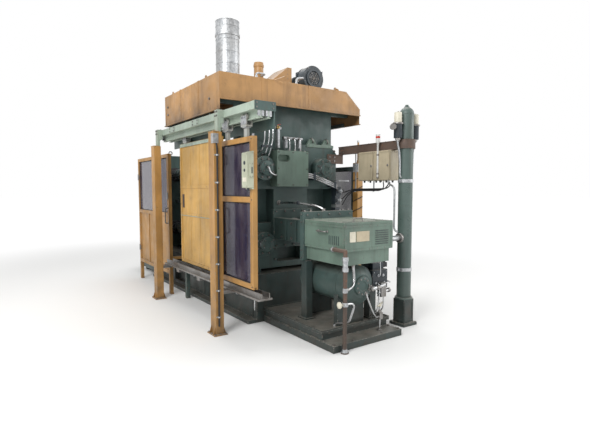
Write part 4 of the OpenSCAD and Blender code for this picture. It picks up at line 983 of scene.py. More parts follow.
CLAMP_Z, BAR_OUT = centre_of("closing_cylinder").z, 440
BARS = grid((-BAR_OUT, BAR_OUT), 0, (CLAMP_Z - BAR_OUT, CLAMP_Z + BAR_OUT))
FACE = box_of("fixed_platen")[0].y
HEAD_BLOCK_Y, HEAD_BLOCK_TOP = box_of("platen_head_block")[0].y, box_of("platen_head_block")[1].z
LUGS_X, HEAD_DROPS_X = (360, 600, -600), (-80, 0, 80)
WATER_VALVES_X, WATER_DROPS_X = (-540, -480, -240), (-420, -360, -310)


def platen_face():
    screws = Piece("platen_screws", BOLT)
    caps = Piece("bar_caps", GREEN)
    for x, nut_face, z in BARS:
        screws.caps(ring((x, nut_face, z), -Y, 112, 8, 0.39), -Y, 16)
        caps.lathe((x, -40, z), -Y, [(84, -3), (84, 6), (78, 10), (30, 10), (27, 4), (0, 4)], 44)
        screws.caps(ring((x, -50, z), -Y, 58, 4, 0.6), -Y, 10)
        caps.lathe((x, 120.5, z), -Y, [(158, 0), (158, 5), (142, 9), (142, 0)], 48)
    screws.bolts(grid((-690, 690), FACE, (680, 1100, 1600, 2040)), -Y, 16)
    screws.caps(grid((-235, 235), FACE, (700, 830)), -Y, 14)
    screws.caps(around(1, HEAD_BLOCK_Y, (-280, 1600), (130, 1980), (3, 3)), -Y, 10)
    screws.caps(grid((-270, 120), (-10, 90), HEAD_BLOCK_TOP), Z, 10)
    screws.caps(grid((662, 718), 40, (1225, 1285, 1375, 1435, 1480)) + grid((662, 718), 20, 1560), -Y, 6)
    screws.bolts([(600, 100, 1900)], -Y, 14)


def lifting_plates():
    plates = Piece("lifting_plates", LIGHT_GREEN)
    ear = [(-75, 0), (75, 0), (75, 20), (32, 85), (0, 100), (-32, 85), (-75, 20)]
    for x in LUGS_X:
        plates.plate(ear, (x, 185, 2100), -Y, 24)
        plates.box((x - 90, 150, 2100), (x + 90, 196, 2112))
    plates.box((240, 110, 2075), (670, 150, 2112))
    shackles = Piece("lifting_shackles", STEEL)
    for x in LUGS_X:
        shackles.hoop((x, 173, 2165), (1, 0, 0.35), 30, 9, 28, 10)
        shackles.lathe((x, 185, 2155), Y, [(24, 0), (24, 3), (12, 3)], 24)
        shackles.caps(grid((x - 75, x + 75), 160, 2112), Z, 9)


def platen_pipes():
    pipes = Piece("platen_pipes", GROUND, bevel=0)
    for i in range(3):
        d = i * 22
        pipes.tube([(150, -16, 1735 - d), (240, -22, 1730 - d), (360, -26, 1690 - d),
                    (600, -26, 1610 - d), (640, -10, 1590 - d * 0.8), (662, 21, 1565 - d * 0.9)],
                   8.5, 12, 40)
    # a bent pipe from the near bar's cap to the head block, and drops from the water bars
    pipes.tube([(-440, -50, 1800), (-440, -85, 1800), (-435, -95, 1745), (-385, -95, 1712),
                (-335, -70, 1712), (-299, -12, 1712)], 10, 12, 25)
    pipes.tube([(-175, 121, 1385), (-172, 30, 1388), (-150, -250, 1392), (-105, -500, 1368),
                (-62, -592, 1335), (-55, -594, 1309)], 12.5, 14, 60)
    for i, x in enumerate(WATER_DROPS_X):
        pipes.tube([(x, 62, 2266), (x, 30, 2258), (x - 10, 30, 2100), (x - 45 - 10 * i, 35, 1980 - 30 * i),
                    (x - 50, 122, 1985 - 35 * i)], 7.5, 10, 40)
    for x in HEAD_DROPS_X:
        pipes.tube([(x, 62, 2155), (x, 30, 2150), (x, 22, 2060), (x, 30, 1999)], 7.5, 10, 30)


def pipe_fittings():
    fittings = Piece("pipe_fittings", STEEL)
    nut = [(14.5, 0), (14.5, 16), (10, 18), (10, 26)]
    for i in range(3):
        fittings.lathe((150, -16, 1735 - i * 22), X, nut, 6)
    fittings.lathe((-440, -50, 1800), -Y, nut, 6)
    fittings.lathe((-300, -14, 1712), (-1, -1.2, 0), nut, 6)
    fittings.lathe((-175, 120, 1385), -Y, [(30, 0), (30, 6), (20, 8), (20, 30), (14, 34)], 24)
    fittings.lathe((-55, -594, 1310), Z, [(20, 0), (20, 22), (14, 26)], 6)
    for i, x in enumerate(WATER_DROPS_X):
        fittings.lathe((x, 64, 2266), -Y, nut, 6)
        fittings.lathe((x - 50, 120, 1985 - 35 * i), -Y, nut, 6)
    for x in HEAD_DROPS_X:
        fittings.lathe((x, 64, 2155), -Y, nut, 6)
        fittings.lathe((x, 30, 2000), Z, nut, 6)
    for x, z in ((-600, 2270), (-140, 2160)):
        fittings.lathe((x, 80, z), -X, [(19, -4), (19, 0)], 20)


def pipe_clamps():
    clamps = Piece("pipe_clamps", DARK)
    clamps.box((245, -40, 1660), (270, -8, 1752))
    clamps.box((245, -10, 1660), (270, 121, 1690))
    clamps.box((575, -40, 1556), (600, -10, 1640))
    clamps.box((585, -12, 1575), (597, 121, 1600))
    clamps.box((-470, 18, 2030), (-325, 40, 2056))
    clamps.box((-410, 38, 2036), (-390, 121, 2050))
    clamps.box((-168, -262, 1372), (-134, -238, 1412))


def water_valves():
    valves = Piece("water_valves", BRASS)
    levers = Piece("valve_levers", RED_LENS)
    for x in WATER_VALVES_X:
        valves.lathe((x, 64, 2268), -Y, [(12, 0), (12, 10), (18, 12), (18, 40), (11, 44), (11, 60)], 16)
        valves.lathe((x, 38, 2285), Z, [(7, 0), (7, 12)], 12)
        levers.box((x - 6, -18, 2296), (x + 6, 46, 2300))


def shelf_and_valves():
    """A small bright shelf on the platen's far edge and the plugs of the core pull valves."""
    shelf = Piece("side_shelf", ZINC)
    shelf.box((560, -130, 1656), (735, 121, 1660))
    shelf.box((560, -130, 1646), (735, -126, 1660))
    for x in (575, 715):
        shelf.plate([(0, 0), (200, 0), (0, -55)], (x, 120, 1656), X, 5)
    plugs = Piece("core_valve_plugs", ZINC)
    coils = Piece("core_valve_coils", RUBBER)
    plug = [(17, 0), (17, 12), (22, 14), (22, 40), (15, 46), (15, 62), (9, 66), (0, 66)]
    for z, y in ((1255, 40), (1405, 40), (1520, 20)):
        plugs.lathe((690, y, z), -Y, plug, 24)
        plugs.box((730, y + 12, z - 28), (752, y + 62, z + 28))
        coils.box((751.5, y + 16, z - 22), (790, y + 58, z + 22))
        coils.lathe((790, y + 37, z), X, [(10, 0), (10, 4), (6, 8), (0, 8)], 16)


platen_face()
lifting_plates()
platen_pipes()
pipe_fittings()
pipe_clamps()
water_valves()
shelf_and_valves()


# The shot unit

SHOT_Z, ROD_OUT, DRAIN = centre_of("shot_sleeve").z, 108.64, (250, -1160)
(_, ARCH_FRONT, _), (ARCH_SIDE, _, ARCH_TOP) = box_of("shot_frame")


def shot_frame_trim():
    screws = Piece("shot_frame_screws", BOLT)
    screws.caps(grid((-255, -130, 0, 130, 255), 60, (875, 1285)), -Y, 15)
    screws.caps(grid((-135, 135), 60, (1000, 1160)), -Y, 12)
    screws.caps(grid((-325, 325), -560, (830, 930, 1170, 1270)), Y, 14)
    screws.caps(grid((-300, -150, 0, 150, 300), ARCH_FRONT, 1275), -Y, 12)
    screws.caps(grid((-310, -230, 230, 310), ARCH_FRONT + 30, ARCH_TOP), Z, 14)
    for s in SIDES:
        screws.bolts(grid(s * 280, (-500, -300, -100), (995, 1165)), X * s, 14)
        screws.caps(grid(s * ARCH_SIDE, ARCH_FRONT + 30, (820, 900, 1200, 1280)), X * s, 10)
    ribs = Piece("shot_frame_ribs", GREEN)
    for s in SIDES:
        for y in (-400, -200):
            ribs.box((s * 280, y - 8, 962), (s * 300, y + 8, 1198))
        ribs.box((s * 190, -558, 1200), (s * 290, 58, 1212))
        ribs.plate([(0, 0), (100, 0), (0, 85)], (s * 205, -560, 1212), X * s, 14)


def sleeve_trim():
    sleeve_ring = Piece("sleeve_ring", STEEL)
    sleeve_ring.lathe((0, 60, SHOT_Z), -Y, [(75.5, 0), (118, 0), (118, 18), (112, 22), (75.5, 22)], 48)
    sleeve_ring.lathe((0, -215, SHOT_Z), -Y, [(75.2, 0), (81.5, 2), (81.5, 14), (75.2, 16)], 40)
    ring_screws = Piece("sleeve_ring_screws", BOLT)
    ring_screws.caps(ring((0, 38, SHOT_Z), -Y, 98, 8, 0.2), -Y, 11)
    tubes = Piece("sleeve_water_tubes", GROUND, bevel=0.6)
    for s in SIDES:
        tubes.tube([(s * 72, -15, SHOT_Z - 30), (s * 120, -15, SHOT_Z - 30), (s * 135, -30, SHOT_Z - 60),
                    (s * 150, -60, 990), (s * 191, -60, 985)], 7, 12, 25)
        tubes.lathe((s * 70, -15, SHOT_Z - 30), X * s, [(13, 0), (13, 16), (9, 18)], 6)
        tubes.lathe((s * 190, -60, 985), X * -s, [(13, 0), (13, 14), (9, 16)], 6)


def plunger_trim():
    rings = Piece("coupling_rings", STEEL)
    for y in (-400, -370):
        rings.lathe((0, y, SHOT_Z), Y, [(55.5, 0), (62, 0), (63.5, 2), (63.5, 12), (62, 14), (55.5, 14)], 36)
    for s in SIDES:
        rings.caps(grid(s * 58, (-393, -363), SHOT_Z + 20), Z, 6)
    rods = Piece("shot_cylinder_rods", STEEL)
    for x, y, z in grid((-ROD_OUT, ROD_OUT), -660, (SHOT_Z - ROD_OUT, SHOT_Z + ROD_OUT)):
        rods.rod((x, -1140, z), (x, y, z), 10, sides=12)
        rods.lathe((x, y + 8, z), -Y, [(19, 0), (19, 14), (10, 16)], 6)


def shot_cover_trim():
    (x0, y0, _), (x1, y1, z1) = box_of("shot_cover")
    z0, thick, tray_z = z1 - 285, 4, 870
    panels = Piece("cover_panels", LIGHT_GREEN)
    # lid with a turned edge, the end's frame and a hand plate on each side
    panels.box((x0 - 3, y0 - 3, z1 - 26), (x1 + 3, y1, z1 - 23))
    panels.frame(1, y0, -thick, (x0 + 4, z0 + 4), (x1 - 4, z1 - 30), 22)
    for s in SIDES:
        panels.frame(0, s * x1, s * thick, (y0 + 4, z0 + 4), (y1 - 4, z1 - 30), 22)
    for x in (x0 + 110, x1 - 110):
        for y in (y0 + 30, y1 - 90):
            panels.box((x - 50, y, z1), (x + 50, y + 70, z1 + 5))
    panels.box((-315, y0 + 45, z1), (315, y0 + 50, z1 + 2))
    screws = Piece("cover_screws", BOLT, bevel=0)
    screws.domes(around(1, y0 - thick, (x0 + 15, z0 + 15), (x1 - 15, z1 - 41), (7, 4)), -Y, 6)
    for side in SIDES:
        places = around(0, side * (x1 + thick), (y0 + 15, z0 + 15), (y1 - 15, z1 - 41), (7, 4))
        screws.domes(places, X * side, 6)
        screws.domes(row((side * 305, y0 + 100, tray_z), (side * 305, y1 - 80, tray_z), 5), X * side, 5)
    screws.domes(around(2, z1, (x0 + 15, y0 + 15), (x1 - 15, y1 - 15), (7, 6)), Z, 6)
    screws.domes(row((-270, y0 + 25, tray_z), (270, y0 + 25, tray_z), 6), -Y, 5)


def cover_fittings():
    (_, y0, _), (_, _, z1) = box_of("shot_cover")
    handles = Piece("cover_handles", STEEL)
    handles.handle((-170, -1200, z1 + 5), (-50, -1200, z1 + 5), Z, 32, 6)
    handles.handle((334, -890, 1130), (334, -760, 1130), X, 34, 7)
    handles.handle((-334, -1000, 1130), (-334, -860, 1130), -X, 34, 7)
    plates = Piece("cover_plates", PLATE, bevel=0.5)
    plates.box((-264, y0 - 5.5, 1040), (-190, y0 - 0.5, 1140))
    side_plate = Piece("cover_side_plate", CREAM, bevel=0.5)
    side_plate.box((-178, y0 - 5.5, 1040), (-8, y0 - 0.5, 1140))
    rivets = Piece("cover_plate_rivets", ZINC, bevel=0)
    rivets.domes(grid((-257, -197, -170, -16), y0 - 5.5, (1046, 1134)), -Y, 3)
    louvres = Piece("cover_louvres", DARK_GREEN)
    for side in SIDES:
        for i in range(6):
            y = -1170 + i * 28
            louvres.plate([(-45, 0), (45, 0), (45, 4), (-45, 10)], (side * 331, y, 1050), Y, 14, math.pi / 2)
    for i in range(7):
        z = 1000 + i * 22
        louvres.box((80, y0 - 6, z), (260, y0 + 1, z + 7))


def vessel_trim():
    (_, front, _), (_, _, z1) = box_of("oil_vessel")
    x, _, z = centre_of("oil_vessel")
    r, straps = z1 - z, (-1000, -480)
    bands = Piece("vessel_bands", GREEN)
    for y in (-1128, -412):
        bands.hoop((x, y, z), Y, r, 3.5, 56)
    for y in straps:
        bands.lathe((x, y - 22, z), Y, [(r, 0), (r + 5, 1), (r + 5, 43), (r, 44)], 56)
    bands.lathe((x, front, z), -Y, [(98, 0), (98, 16), (92, 20), (50, 20), (46, 14), (0, 14)], 44)
    bands.box((x - 7, -1115, z + r - 2), (x + 7, -425, z + r + 4))
    bolts = Piece("vessel_bolts", BOLT)
    bolts.bolts(ring((x, front - 20, z), -Y, 78, 10, 0.1), -Y, 9)
    bolts.caps(grid((x - 155, x + 155), straps, 381), Z, 10)


def vessel_pipes():
    pipes = Piece("vessel_pipes", GROUND, bevel=0)
    # a curved pipe from the cover to the return pipe, a cross pipe beside the vessel and the drain's stem
    pipes.tube([(-175, -1205, 812), (-175, -1222, 680), (-205, -1245, 615), (-300, -1288, 600),
                (-352, -1306, 600)], 13, 14, 60)
    pipes.tube([(300, -1175, 550), (120, -1235, 550), (60, -1235, 550)], 18, 16, 30)
    pipes.rod((215, -1168, 470), (430, -1120, 470), 16)
    pipes.rod((*DRAIN, 70), (*DRAIN, 335), 10, sides=14)
    pipes.tube([(*DRAIN, 215), (185, -1165, 215), (100, -1200, 300), (20, -1215, 440),
                (-5, -1216, 500)], 11, 14, 50)
    pipes.tube([(290, -900, 520), (330, -860, 420), (340, -800, 300), (340, -780, 161)], 14, 14, 60)
    pipes.tube([(180, -950, 600), (150, -950, 600)], 16, 14, 0)


def vessel_valves():
    x, y = DRAIN
    valves = Piece("vessel_valves", STEEL)
    valves.lathe((-175, -1204, 815), -Z, [(22, 0), (22, 12), (17, 14), (17, 30)], 6)
    valves.lathe((-349, -1305, 600), (1, 0.25, 0), [(19, 0), (19, 14), (15, 16), (15, 30)], 6)
    valves.box((245, -1185, 425), (315, -1125, 575))
    valves.lathe((430, -1120, 470), (1, 0.22, 0), [(24, -30), (24, 0), (20, 3), (0, 3)], 24)
    valves.lathe((125, -1235, 550), X, [(26, 0), (26, 20), (21, 22), (21, 40)], 6)
    valves.lathe((60, -1203, 550), -Y, [(30, 0), (30, 14), (24, 16), (24, 48)], 24)
    valves.lathe((-5, -1203, 505), -Y, [(20, 0), (20, 10), (14, 12), (14, 22)], 6)
    valves.box((x - 24, y - 24, 190), (x + 24, y + 24, 262))
    valves.lathe((x, y, 262), Z, [(20, 0), (20, 12), (13, 16), (13, 30)], 6)
    valves.lathe((x, y, 70), Z, [(30, 0), (30, 8), (16, 12)], 20)
    handle = Piece("vessel_valve_handle", PLATE)
    handle.rod((x - 45, y - 10, 335), (x + 45, y + 10, 355), 10, sides=14)
    handle.lathe((x, y, 322), Z, [(14, 0), (17, 8), (17, 26), (10, 34), (0, 34)], 18)


def pilot_valves():
    """Coils and plugs of the pilot valves beside the vessel."""
    (x0, y0, z0), (x1, _, top) = box_of("pilot_manifold")
    bank_z = top - 35
    valves = Piece("pilot_valves", ZINC)
    coils = Piece("pilot_coils", RUBBER)
    for i in range(2):
        y = y0 + 75 + i * 110
        valves.lathe((380, y, bank_z), X, [(22, 0), (22, 6), (16, 8), (16, 12)], 20)
        coils.box((391, y - 24, bank_z - 25), (447, y + 24, bank_z + 25))
        coils.lathe((447, y, bank_z), X, [(12, 0), (12, 8), (7, 12), (0, 12)], 16)
        coils.box((405, y - 14, bank_z + 25), (433, y + 14, bank_z + 50))
        valves.caps(grid((235, 365), (y - 26, y + 26), top), Z, 5)
    valves.caps(grid((x0 + 20, 380), y0, (z0 + 20, z0 + 180)), -Y, 7)
    for x, z in ((230, 560), (290, 560), (350, 560), (260, 640), (330, 640)):
        valves.lathe((x, y0, z), -Y, [(16, 0), (16, 8), (10, 10), (10, 16)], 6)
    valves.bolts(grid(x1, (-1090, -850), (530, 670)), X, 8)


def pilot_lines():
    y0 = box_of("pilot_manifold")[0].y
    lines = Piece("pilot_lines", GROUND, bevel=0)
    lines.tube([(230, y0 - 12, 560), (230, y0 - 45, 560), (230, y0 - 55, 500), (210, y0 - 50, 300),
                (200, y0 + 50, 200), (200, y0 + 70, 161)], 7, 10, 40)
    lines.tube([(290, y0 - 12, 560), (290, y0 - 40, 560), (295, y0 - 50, 520), (300, y0 - 40, 300),
                (290, y0 + 50, 200), (290, y0 + 70, 161)], 7, 10, 40)
    lines.tube([(350, y0 - 12, 560), (350, y0 - 30, 560), (415, y0 - 30, 560), (430, y0, 560),
                (430, -700, 560), (430, -620, 400), (430, -600, 161)], 7, 10, 50)
    lines.tube([(260, y0 - 12, 640), (260, y0 - 30, 645), (260, y0 - 32, 720), (262, y0 - 20, 812)],
               6, 10, 30)


def pressure_side():
    """Screws of the shot valve block and the flanges of its pressure pipe."""
    high = box_of("shot_valve_block")[1]
    screws = Piece("valve_block_screws", BOLT)
    screws.caps(grid(high.x, (-1040, -910, -780), (965, 1140)), X, 10)
    screws.caps(grid((120, 240), (-1020, -920), high.z), Z, 9)
    flanges = Piece("pressure_flanges", STEEL)
    _, y, z = centre_of("pressure_pipe")
    for x, s in ((334, 1), (722, -1)):
        flanges.lathe((x, y, z), X * s, [(30.5, 0), (56, 0), (56, 18), (52, 22), (30.5, 22)], 32)
        flanges.bolts(ring((x + s * 22, y, z), X * s, 44, 4, 0.78), X * s, 8)
    flanges.hoop((530, y, z), X, 31, 3, 32)


shot_frame_trim()
sleeve_trim()
plunger_trim()
shot_cover_trim()
cover_fittings()
vessel_trim()
vessel_pipes()
vessel_valves()
pilot_valves()
pilot_lines()
pressure_side()


# Base, bed and the near side's pipes

BASE_TOP, BED_TOP = box_of("shot_base")[1].z, box_of("bed")[1].z
BED_SIDE, CELL_PITCH, CELL_LONG = 560, 690, 480


def base_details():
    bolts = Piece("base_bolts", BOLT)
    bolts.bolts(grid((-445, 445), (-1240, -1100), 70), Z, 14)
    bolts.bolts(grid((-200, 200), -1240, 70), Z, 14)
    bolts.bolts(grid((-440, 440), (-920, -620, -320), BASE_TOP), Z, 12)
    bolts.bolts(grid((-660, 660), (160, 800, 1500, 2180, 2860, 3300), 40), Z, 12)
    bolts.bolts(grid((-225, 225), (-625, -585), BASE_TOP), Z, 8)
    top = BASE_TOP + 12
    plates = Piece("support_plates", DARK_GREEN)
    for s in SIDES:
        plates.box((s * 290 - 66, -676, BASE_TOP), (s * 290 + 66, -534, top))
        plates.plate([(0, 0), (26, 0), (0, 80)], (s * 290 + 40, -600, top), -Y, 10)
    plates.box((232, -1028, BASE_TOP), (348, -912, top))
    # drip tray with a turned edge round the base block
    plates.frame(2, BASE_TOP, 12, (-468, -1088), (468, -2), 10)
    support_bolts = Piece("support_bolts", BOLT)
    support_bolts.bolts(grid((-343, -237, 237, 343), (-663, -547), top), Z, 7)
    support_bolts.bolts(grid((245, 335), (-1015, -925), top), Z, 6)


def bed_details():
    trim = Piece("bed_trim", DARK_GREEN)
    screws = Piece("bed_screws", BOLT)
    for i, s in itertools.product(range(5), SIDES):
        y0 = (i + 0.5) * CELL_PITCH - CELL_LONG / 2
        y1 = y0 + CELL_LONG
        trim.frame(0, s * BED_SIDE, s * 4, (y0 - 20, 62), (y1 + 20, 478), 20)
        # every other cell has a cover plate
        if i % 2 == 0:
            trim.box((s * BED_SIDE, y0 - 20, 62), (s * (BED_SIDE + 6), y1 + 20, 478))
            screws.bolts(around(0, s * (BED_SIDE + 6), (y0, 82), (y1, 458), (4, 3)), X * s, 8)
    for i, s in itertools.product(range(1, 5), SIDES):
        trim.plate([(0, 0), (s * 80, 0), (0, -140)], (s * BED_SIDE, i * CELL_PITCH + 6, 499), -Y, 12)
    for s in SIDES:
        screws.caps(grid((s * 410 - 35, s * 410 + 35), (1120, 2620, 2800, 3400), BED_TOP + 20), Z, 7)
        screws.bolts(grid(s * 600, (250, 400, 620, 860), BED_TOP), Z, 12)


def bed_pipes():
    pipes = Piece("bed_pipes", GROUND, bevel=0)
    for k, z in enumerate((285, 315, 345)):
        start = [(-558, 55 + k * 30, z), (-600, 55 + k * 30, z), (-600, 120 + k * 30, z)]
        if k == 2:
            start = [(-600, -20, 161), (-600, -20, z), (-600, 60, z)]
        pipes.tube(start + [(-600, 3280, z), (-600, 3360, z - 20), (-560, 3360, z - 20)], 10, 12, 35)
    clamps = Piece("bed_pipe_clamps", ZINC)
    for y in (400, 690, 1400, 1730, 2450, 2770):
        clamps.box((-616, y - 18, 265), (-560, y + 18, 365))
        clamps.caps(grid(-616, y, (272, 358)), -X, 6)


def return_pipe_trim():
    low = box_of("return_pipe")[0]
    x, y = low.x + 38, low.y + 38
    foot = (x + 150, y + 320)
    fittings = Piece("return_fittings", ZINC)
    for z in (780, 880):
        fittings.lathe((x, y, z - 2), Z, [(28.5, 0), (30.5, 2), (30.5, 36), (28.5, 38)], 8)
    fittings.lathe((x, y, 847), Z, [(20.2, -34), (24.5, -30), (24.5, 30), (20.2, 34)], 20)
    fittings.lathe((x, y, 0), Z, [(37.5, 0), (37.5, 13), (28, 16), (24, 40)], 28)
    fittings.lathe((x, y + 175, 970), Y, [(20.2, -6), (26, -4), (26, 12), (20.2, 14)], 8)
    fittings.lathe((x, y, 450), Z, [(28.5, -2), (30.5, 0), (30.5, 34), (28.5, 36)], 8)
    fittings.lathe((x, y, 600), Z, [(20.2, -24), (26.5, -20), (26.5, 20), (20.2, 24)], 8)
    branch = Piece("return_branch", GROUND, bevel=0)
    branch.tube([(x + 25, y, 467), (x + 100, y + 5, 462), (x + 135, y + 20, 420), (x + 140, y + 100, 240),
                 (x + 150, y + 300, 190), (*foot, BASE_TOP + 1)], 12, 12, 50)
    branch.lathe((*foot, BASE_TOP), Z, [(22, 0), (22, 14), (15, 18)], 6)
    knob = Piece("return_knob", PLATE)
    knob.lathe((x - 28, y + 6, 467), (-1, 0.1, 0),
               [(10, 0), (10, 22), (30, 24), (33, 32), (30, 42), (12, 46), (0, 46)], 28)


base_details()
bed_details()
bed_pipes()
return_pipe_trim()


# The tall accumulator, the beam and the boxes

COLUMN = centre_of("accumulator_stand").xy
BOTTLES_OUT = 140


def accumulator_trim():
    x, y = COLUMN
    rings = Piece("accumulator_rings", SMOOTH_GREEN)
    rings.lathe((x, y, 300), Z, [(100, 0), (100, 18), (94, 22), (80, 22)], 44)
    for z in (1360, 2378):
        rings.hoop((x, y, z), Z, 80, 2.8, 44)
    rings.lathe((x, y, 2452), Z, [(30, 0), (30, 12), (18, 14), (18, 30), (0, 34)], 24)
    clamps = Piece("accumulator_clamps", ZINC)
    for z in (620, 1620):
        clamps.lathe((x, y, z), Z, [(80.5, 0), (85, 2), (85, 38), (80.5, 40)], 44)
        for at in (y - 12, y + 6):
            clamps.box((x - 112, at, z + 4), (x - 78, at + 6, z + 36))
        clamps.bolts([(x - 100, y - 12, z + 20)], -Y, 7)
        clamps.rod((x - 100, y - 10, z + 20), (x - 100, y + 20, z + 20), 4, sides=8)
    bolts = Piece("accumulator_bolts", BOLT)
    bolts.bolts(ring((x, y, 322), Z, 89, 8, 0.2), Z, 6)
    bolts.bolts(grid((x - 96, x + 96), (y - 96, y + 96), 30), Z, 9)
    bolts.bolts(ring((x, y, 2100), Z, 98, 2, 0.75), Z, 8)
    for s in SIDES:
        bolts.caps(ring((x + s * BOTTLES_OUT, y, 2275), Z, 47.5, 6, 0.3), Z, 6)
    doors = Piece("stand_doors", DARK_GREEN)
    for axis, s in itertools.product((0, 1), SIDES):
        across = COLUMN[1 - axis]
        doors.frame(axis, COLUMN[axis] + s * 80, s * 4, (across - 70, 50), (across + 70, 285), 18)


def bottle_caps():
    x, y = COLUMN
    caps = Piece("accumulator_caps", PLATE)
    gauge = Piece("accumulator_gauge", STEEL)
    for at in (x - BOTTLES_OUT, x + BOTTLES_OUT):
        caps.lathe((at, y, 2278), Z, [(41.5, 0), (41.5, 104), (36, 112), (0, 112)], 36)
        gauge.lathe((at, y, 2262), Z, [(56, -3), (57, 0), (57, 10), (56, 13.5)], 40)
        gauge.lathe((at, y, 2388), Z, [(12, 0), (12, 10), (6, 14), (0, 14)], 6)
        gauge.lathe((at, y, 2110), -Z, [(30, 0), (30, 20), (20, 22), (20, 35)], 6)
    gauge.rod((x - 195, y, 2225), (x - 230, y - 10, 2225), 7, sides=12)
    gauge.lathe((x - 240, y - 20, 2225), (-0.55, -0.83, 0),
                [(33, -12), (35, -10), (35, 8), (31, 10), (31, 6), (0, 6)], 36)


def accumulator_pipes():
    x, y = COLUMN
    pipes = Piece("accumulator_pipes", ZINC, bevel=0)
    pipes.tube([(x - 140, y, 2090), (x - 140, y, 2040), (x - 120, y - 5, 1980), (x - 100, y - 4, 1800),
                (x - 100, y, 1700), (x - 76, y, 1680)], 12, 14, 50)
    pipes.tube([(x + 140, y, 2090), (x + 140, y, 2040), (x + 120, y, 1980), (x + 105, y, 1700),
                (x + 105, y, 700), (x + 76, y, 680)], 10, 12, 50)
    gland = (765, -775)
    pipes.tube([(*gland, 1652), (*gland, 1615), (715, -905, 1575), (705, -925, 1520), (705, -925, 1085),
                (730, -965, 1060)], 10.5, 12, 50)
    pipes.lathe((*gland, 1652), -Z, [(18, 0), (18, 12), (14, 14), (14, 22)], 6)


def beam_trim():
    bolts = Piece("beam_bolts", BOLT)
    bolts.bolts(grid((600, 680), 100, (1915, 1965)), -Y, 12)
    bolts.bolts(grid(770, (30, 85), (2025, 2075)), -X, 10)
    bolts.bolts(grid((785, 815), (-700, -420), 2100), Z, 7)
    rims = Piece("beam_rims", BROWN)
    for x, y, z in grid((763, 828), -915, (1999, 2094)):
        rims.box((x, y, z), (x + 9, 119, z + 7))
    rims.lathe((*COLUMN, 1999), Z, [(80.5, 0), (100.5, 0), (100.5, 6), (80.5, 6)], 40)


def terminal_trim():
    (x0, front, z0), (x1, back, z1) = box_of("terminal_box")
    lid, y_mid, z_mid = x0 - 9, (front + back) / 2, (z0 + z1) / 2
    lids = Piece("terminal_lids", CREAM)
    screws = Piece("terminal_screws", BOLT, bevel=0)
    hinges = Piece("terminal_hinges", STEEL)
    glands = Piece("terminal_glands", DARK)
    for y0, y1 in ((front, y_mid - 5), (y_mid + 5, back)):
        lids.box((lid, y0 + 6, z0 + 6), (x0 - 0.5, y1 - 6, z1 - 6))
        lids.frame(0, lid, -3, (y0 + 6, z0 + 6), (y1 - 6, z1 - 6), 14)
        for x, y, z in grid(x1 - 6, (y0 + 4, y1 - 18), (z0 - 14, z1 - 6)):
            lids.box((x, y, z), (x + 5.5, y + 14, z + 20))
        screws.domes(grid(lid - 3, (y0 + 13, y1 - 13), (z0 + 13, z1 - 13)), -X, 5)
        for z in (z0 + 70, z1 - 70):
            hinges.rod((x0 - 6, y1 - 4, z - 22), (x0 - 6, y1 - 4, z + 22), 5.5, sides=12)
        hinges.lathe((lid, y0 + 30, z_mid), -X, [(14, 0), (14, 4), (10, 6), (10, 10), (0, 10)], 20)
        hinges.box((lid - 15, y0 + 27, z_mid - 10), (lid - 9, y0 + 33, z_mid + 10))
        for i in range(4):
            at = (x0 + 50 if i % 2 else x0 + 100, y0 + 50 + i * 50, z0)
            glands.lathe(at, -Z, [(14, 0), (14, 8), (11.5, 9), (11.5, 20), (8, 24)], 6)
    lids.frame(1, front, -3, (x0 + 6, z0 + 6), (x1 - 6, z1 - 6), 12)


def terminal_cables():
    front = box_of("terminal_box")[0].y
    tubes = Piece("terminal_cable_tubes", RUBBER, bevel=0)
    for i in range(3):
        start, y, drop = 840 if i == 1 else 790, front + 50 + i * 50, i * 12
        tubes.tube([(start, y, 1632), (800, y, 1590 - drop), (845, y + 100, 1555 - drop),
                    (845, -100, 1550 - drop), (840, 20, 1520 - i * 30), (791, 62, 1500 - i * 80)],
                   6.5, 8, 50)
    hangers = Piece("cable_hangers", ZINC)
    for y, top in ((-450, 1660), (-120, 2005)):
        hangers.box((832, y - 10, 1515), (858, y + 10, 1519))
        hangers.box((855, y - 10, 1515), (859, y + 10, top))
    hangers.box((836, -130, 1999), (860, -110, 2006))


def lamp_trim():
    x, y, _ = centre_of("signal_lamp")
    head = Piece("lamp_head", WHITE_LENS, bevel=0.6)
    head.lathe((x, y, 2099), Z, [(12.5, -18), (20, -12), (26.2, 0), (26.2, 22), (24.5, 24), (0, 24)], 32)
    for z, side, high in ((2124, 18, 19.5), (2168, 20, 23.5)):
        head.lathe((x, y, z), Z, [(0, 0), (25.6, 0), (26.2, 2), (26.2, side), (22, high), (0, high)], 32)
    red = Piece("lamp_red", RED_LENS, bevel=0)
    red.lathe((x, y, 2143.5), Z, [(0, 0), (25.8, 0), (26.3, 3), (26.3, 21), (25.8, 24), (0, 24)], 32)
    for k in range(3):
        red.hoop((x, y, 2148 + k * 7), Z, 26.2, 1.4, 32, 6)
    clips = Piece("lamp_clips", STEEL)
    for z in (1730, 1950):
        clips.lathe((x, y, z), Z, [(12.2, -10), (15.5, -9), (15.5, 9), (12.2, 10)], 24)
        clips.domes([(x - 15.5, y, z)], -X, 4)
    clips.lathe((x, y, 1682), -Z, [(12.5, -12), (14, -12), (14, 4), (8, 8), (0, 8)], 20)


accumulator_trim()
bottle_caps()
accumulator_pipes()
beam_trim()
terminal_trim()
terminal_cables()
lamp_trim()


# Clamp unit, closing cylinder, tank and pump

PLATEN_SIDE = box_of("moving_platen")[1].x
REAR_Y0, REAR_Y1, CYLINDER_END = 2900, box_of("rear_platen")[1].y, box_of("closing_cylinder")[1].y
TANK_TOP, RING_MOTOR_Z = box_of("oil_tank")[1].z, 1950


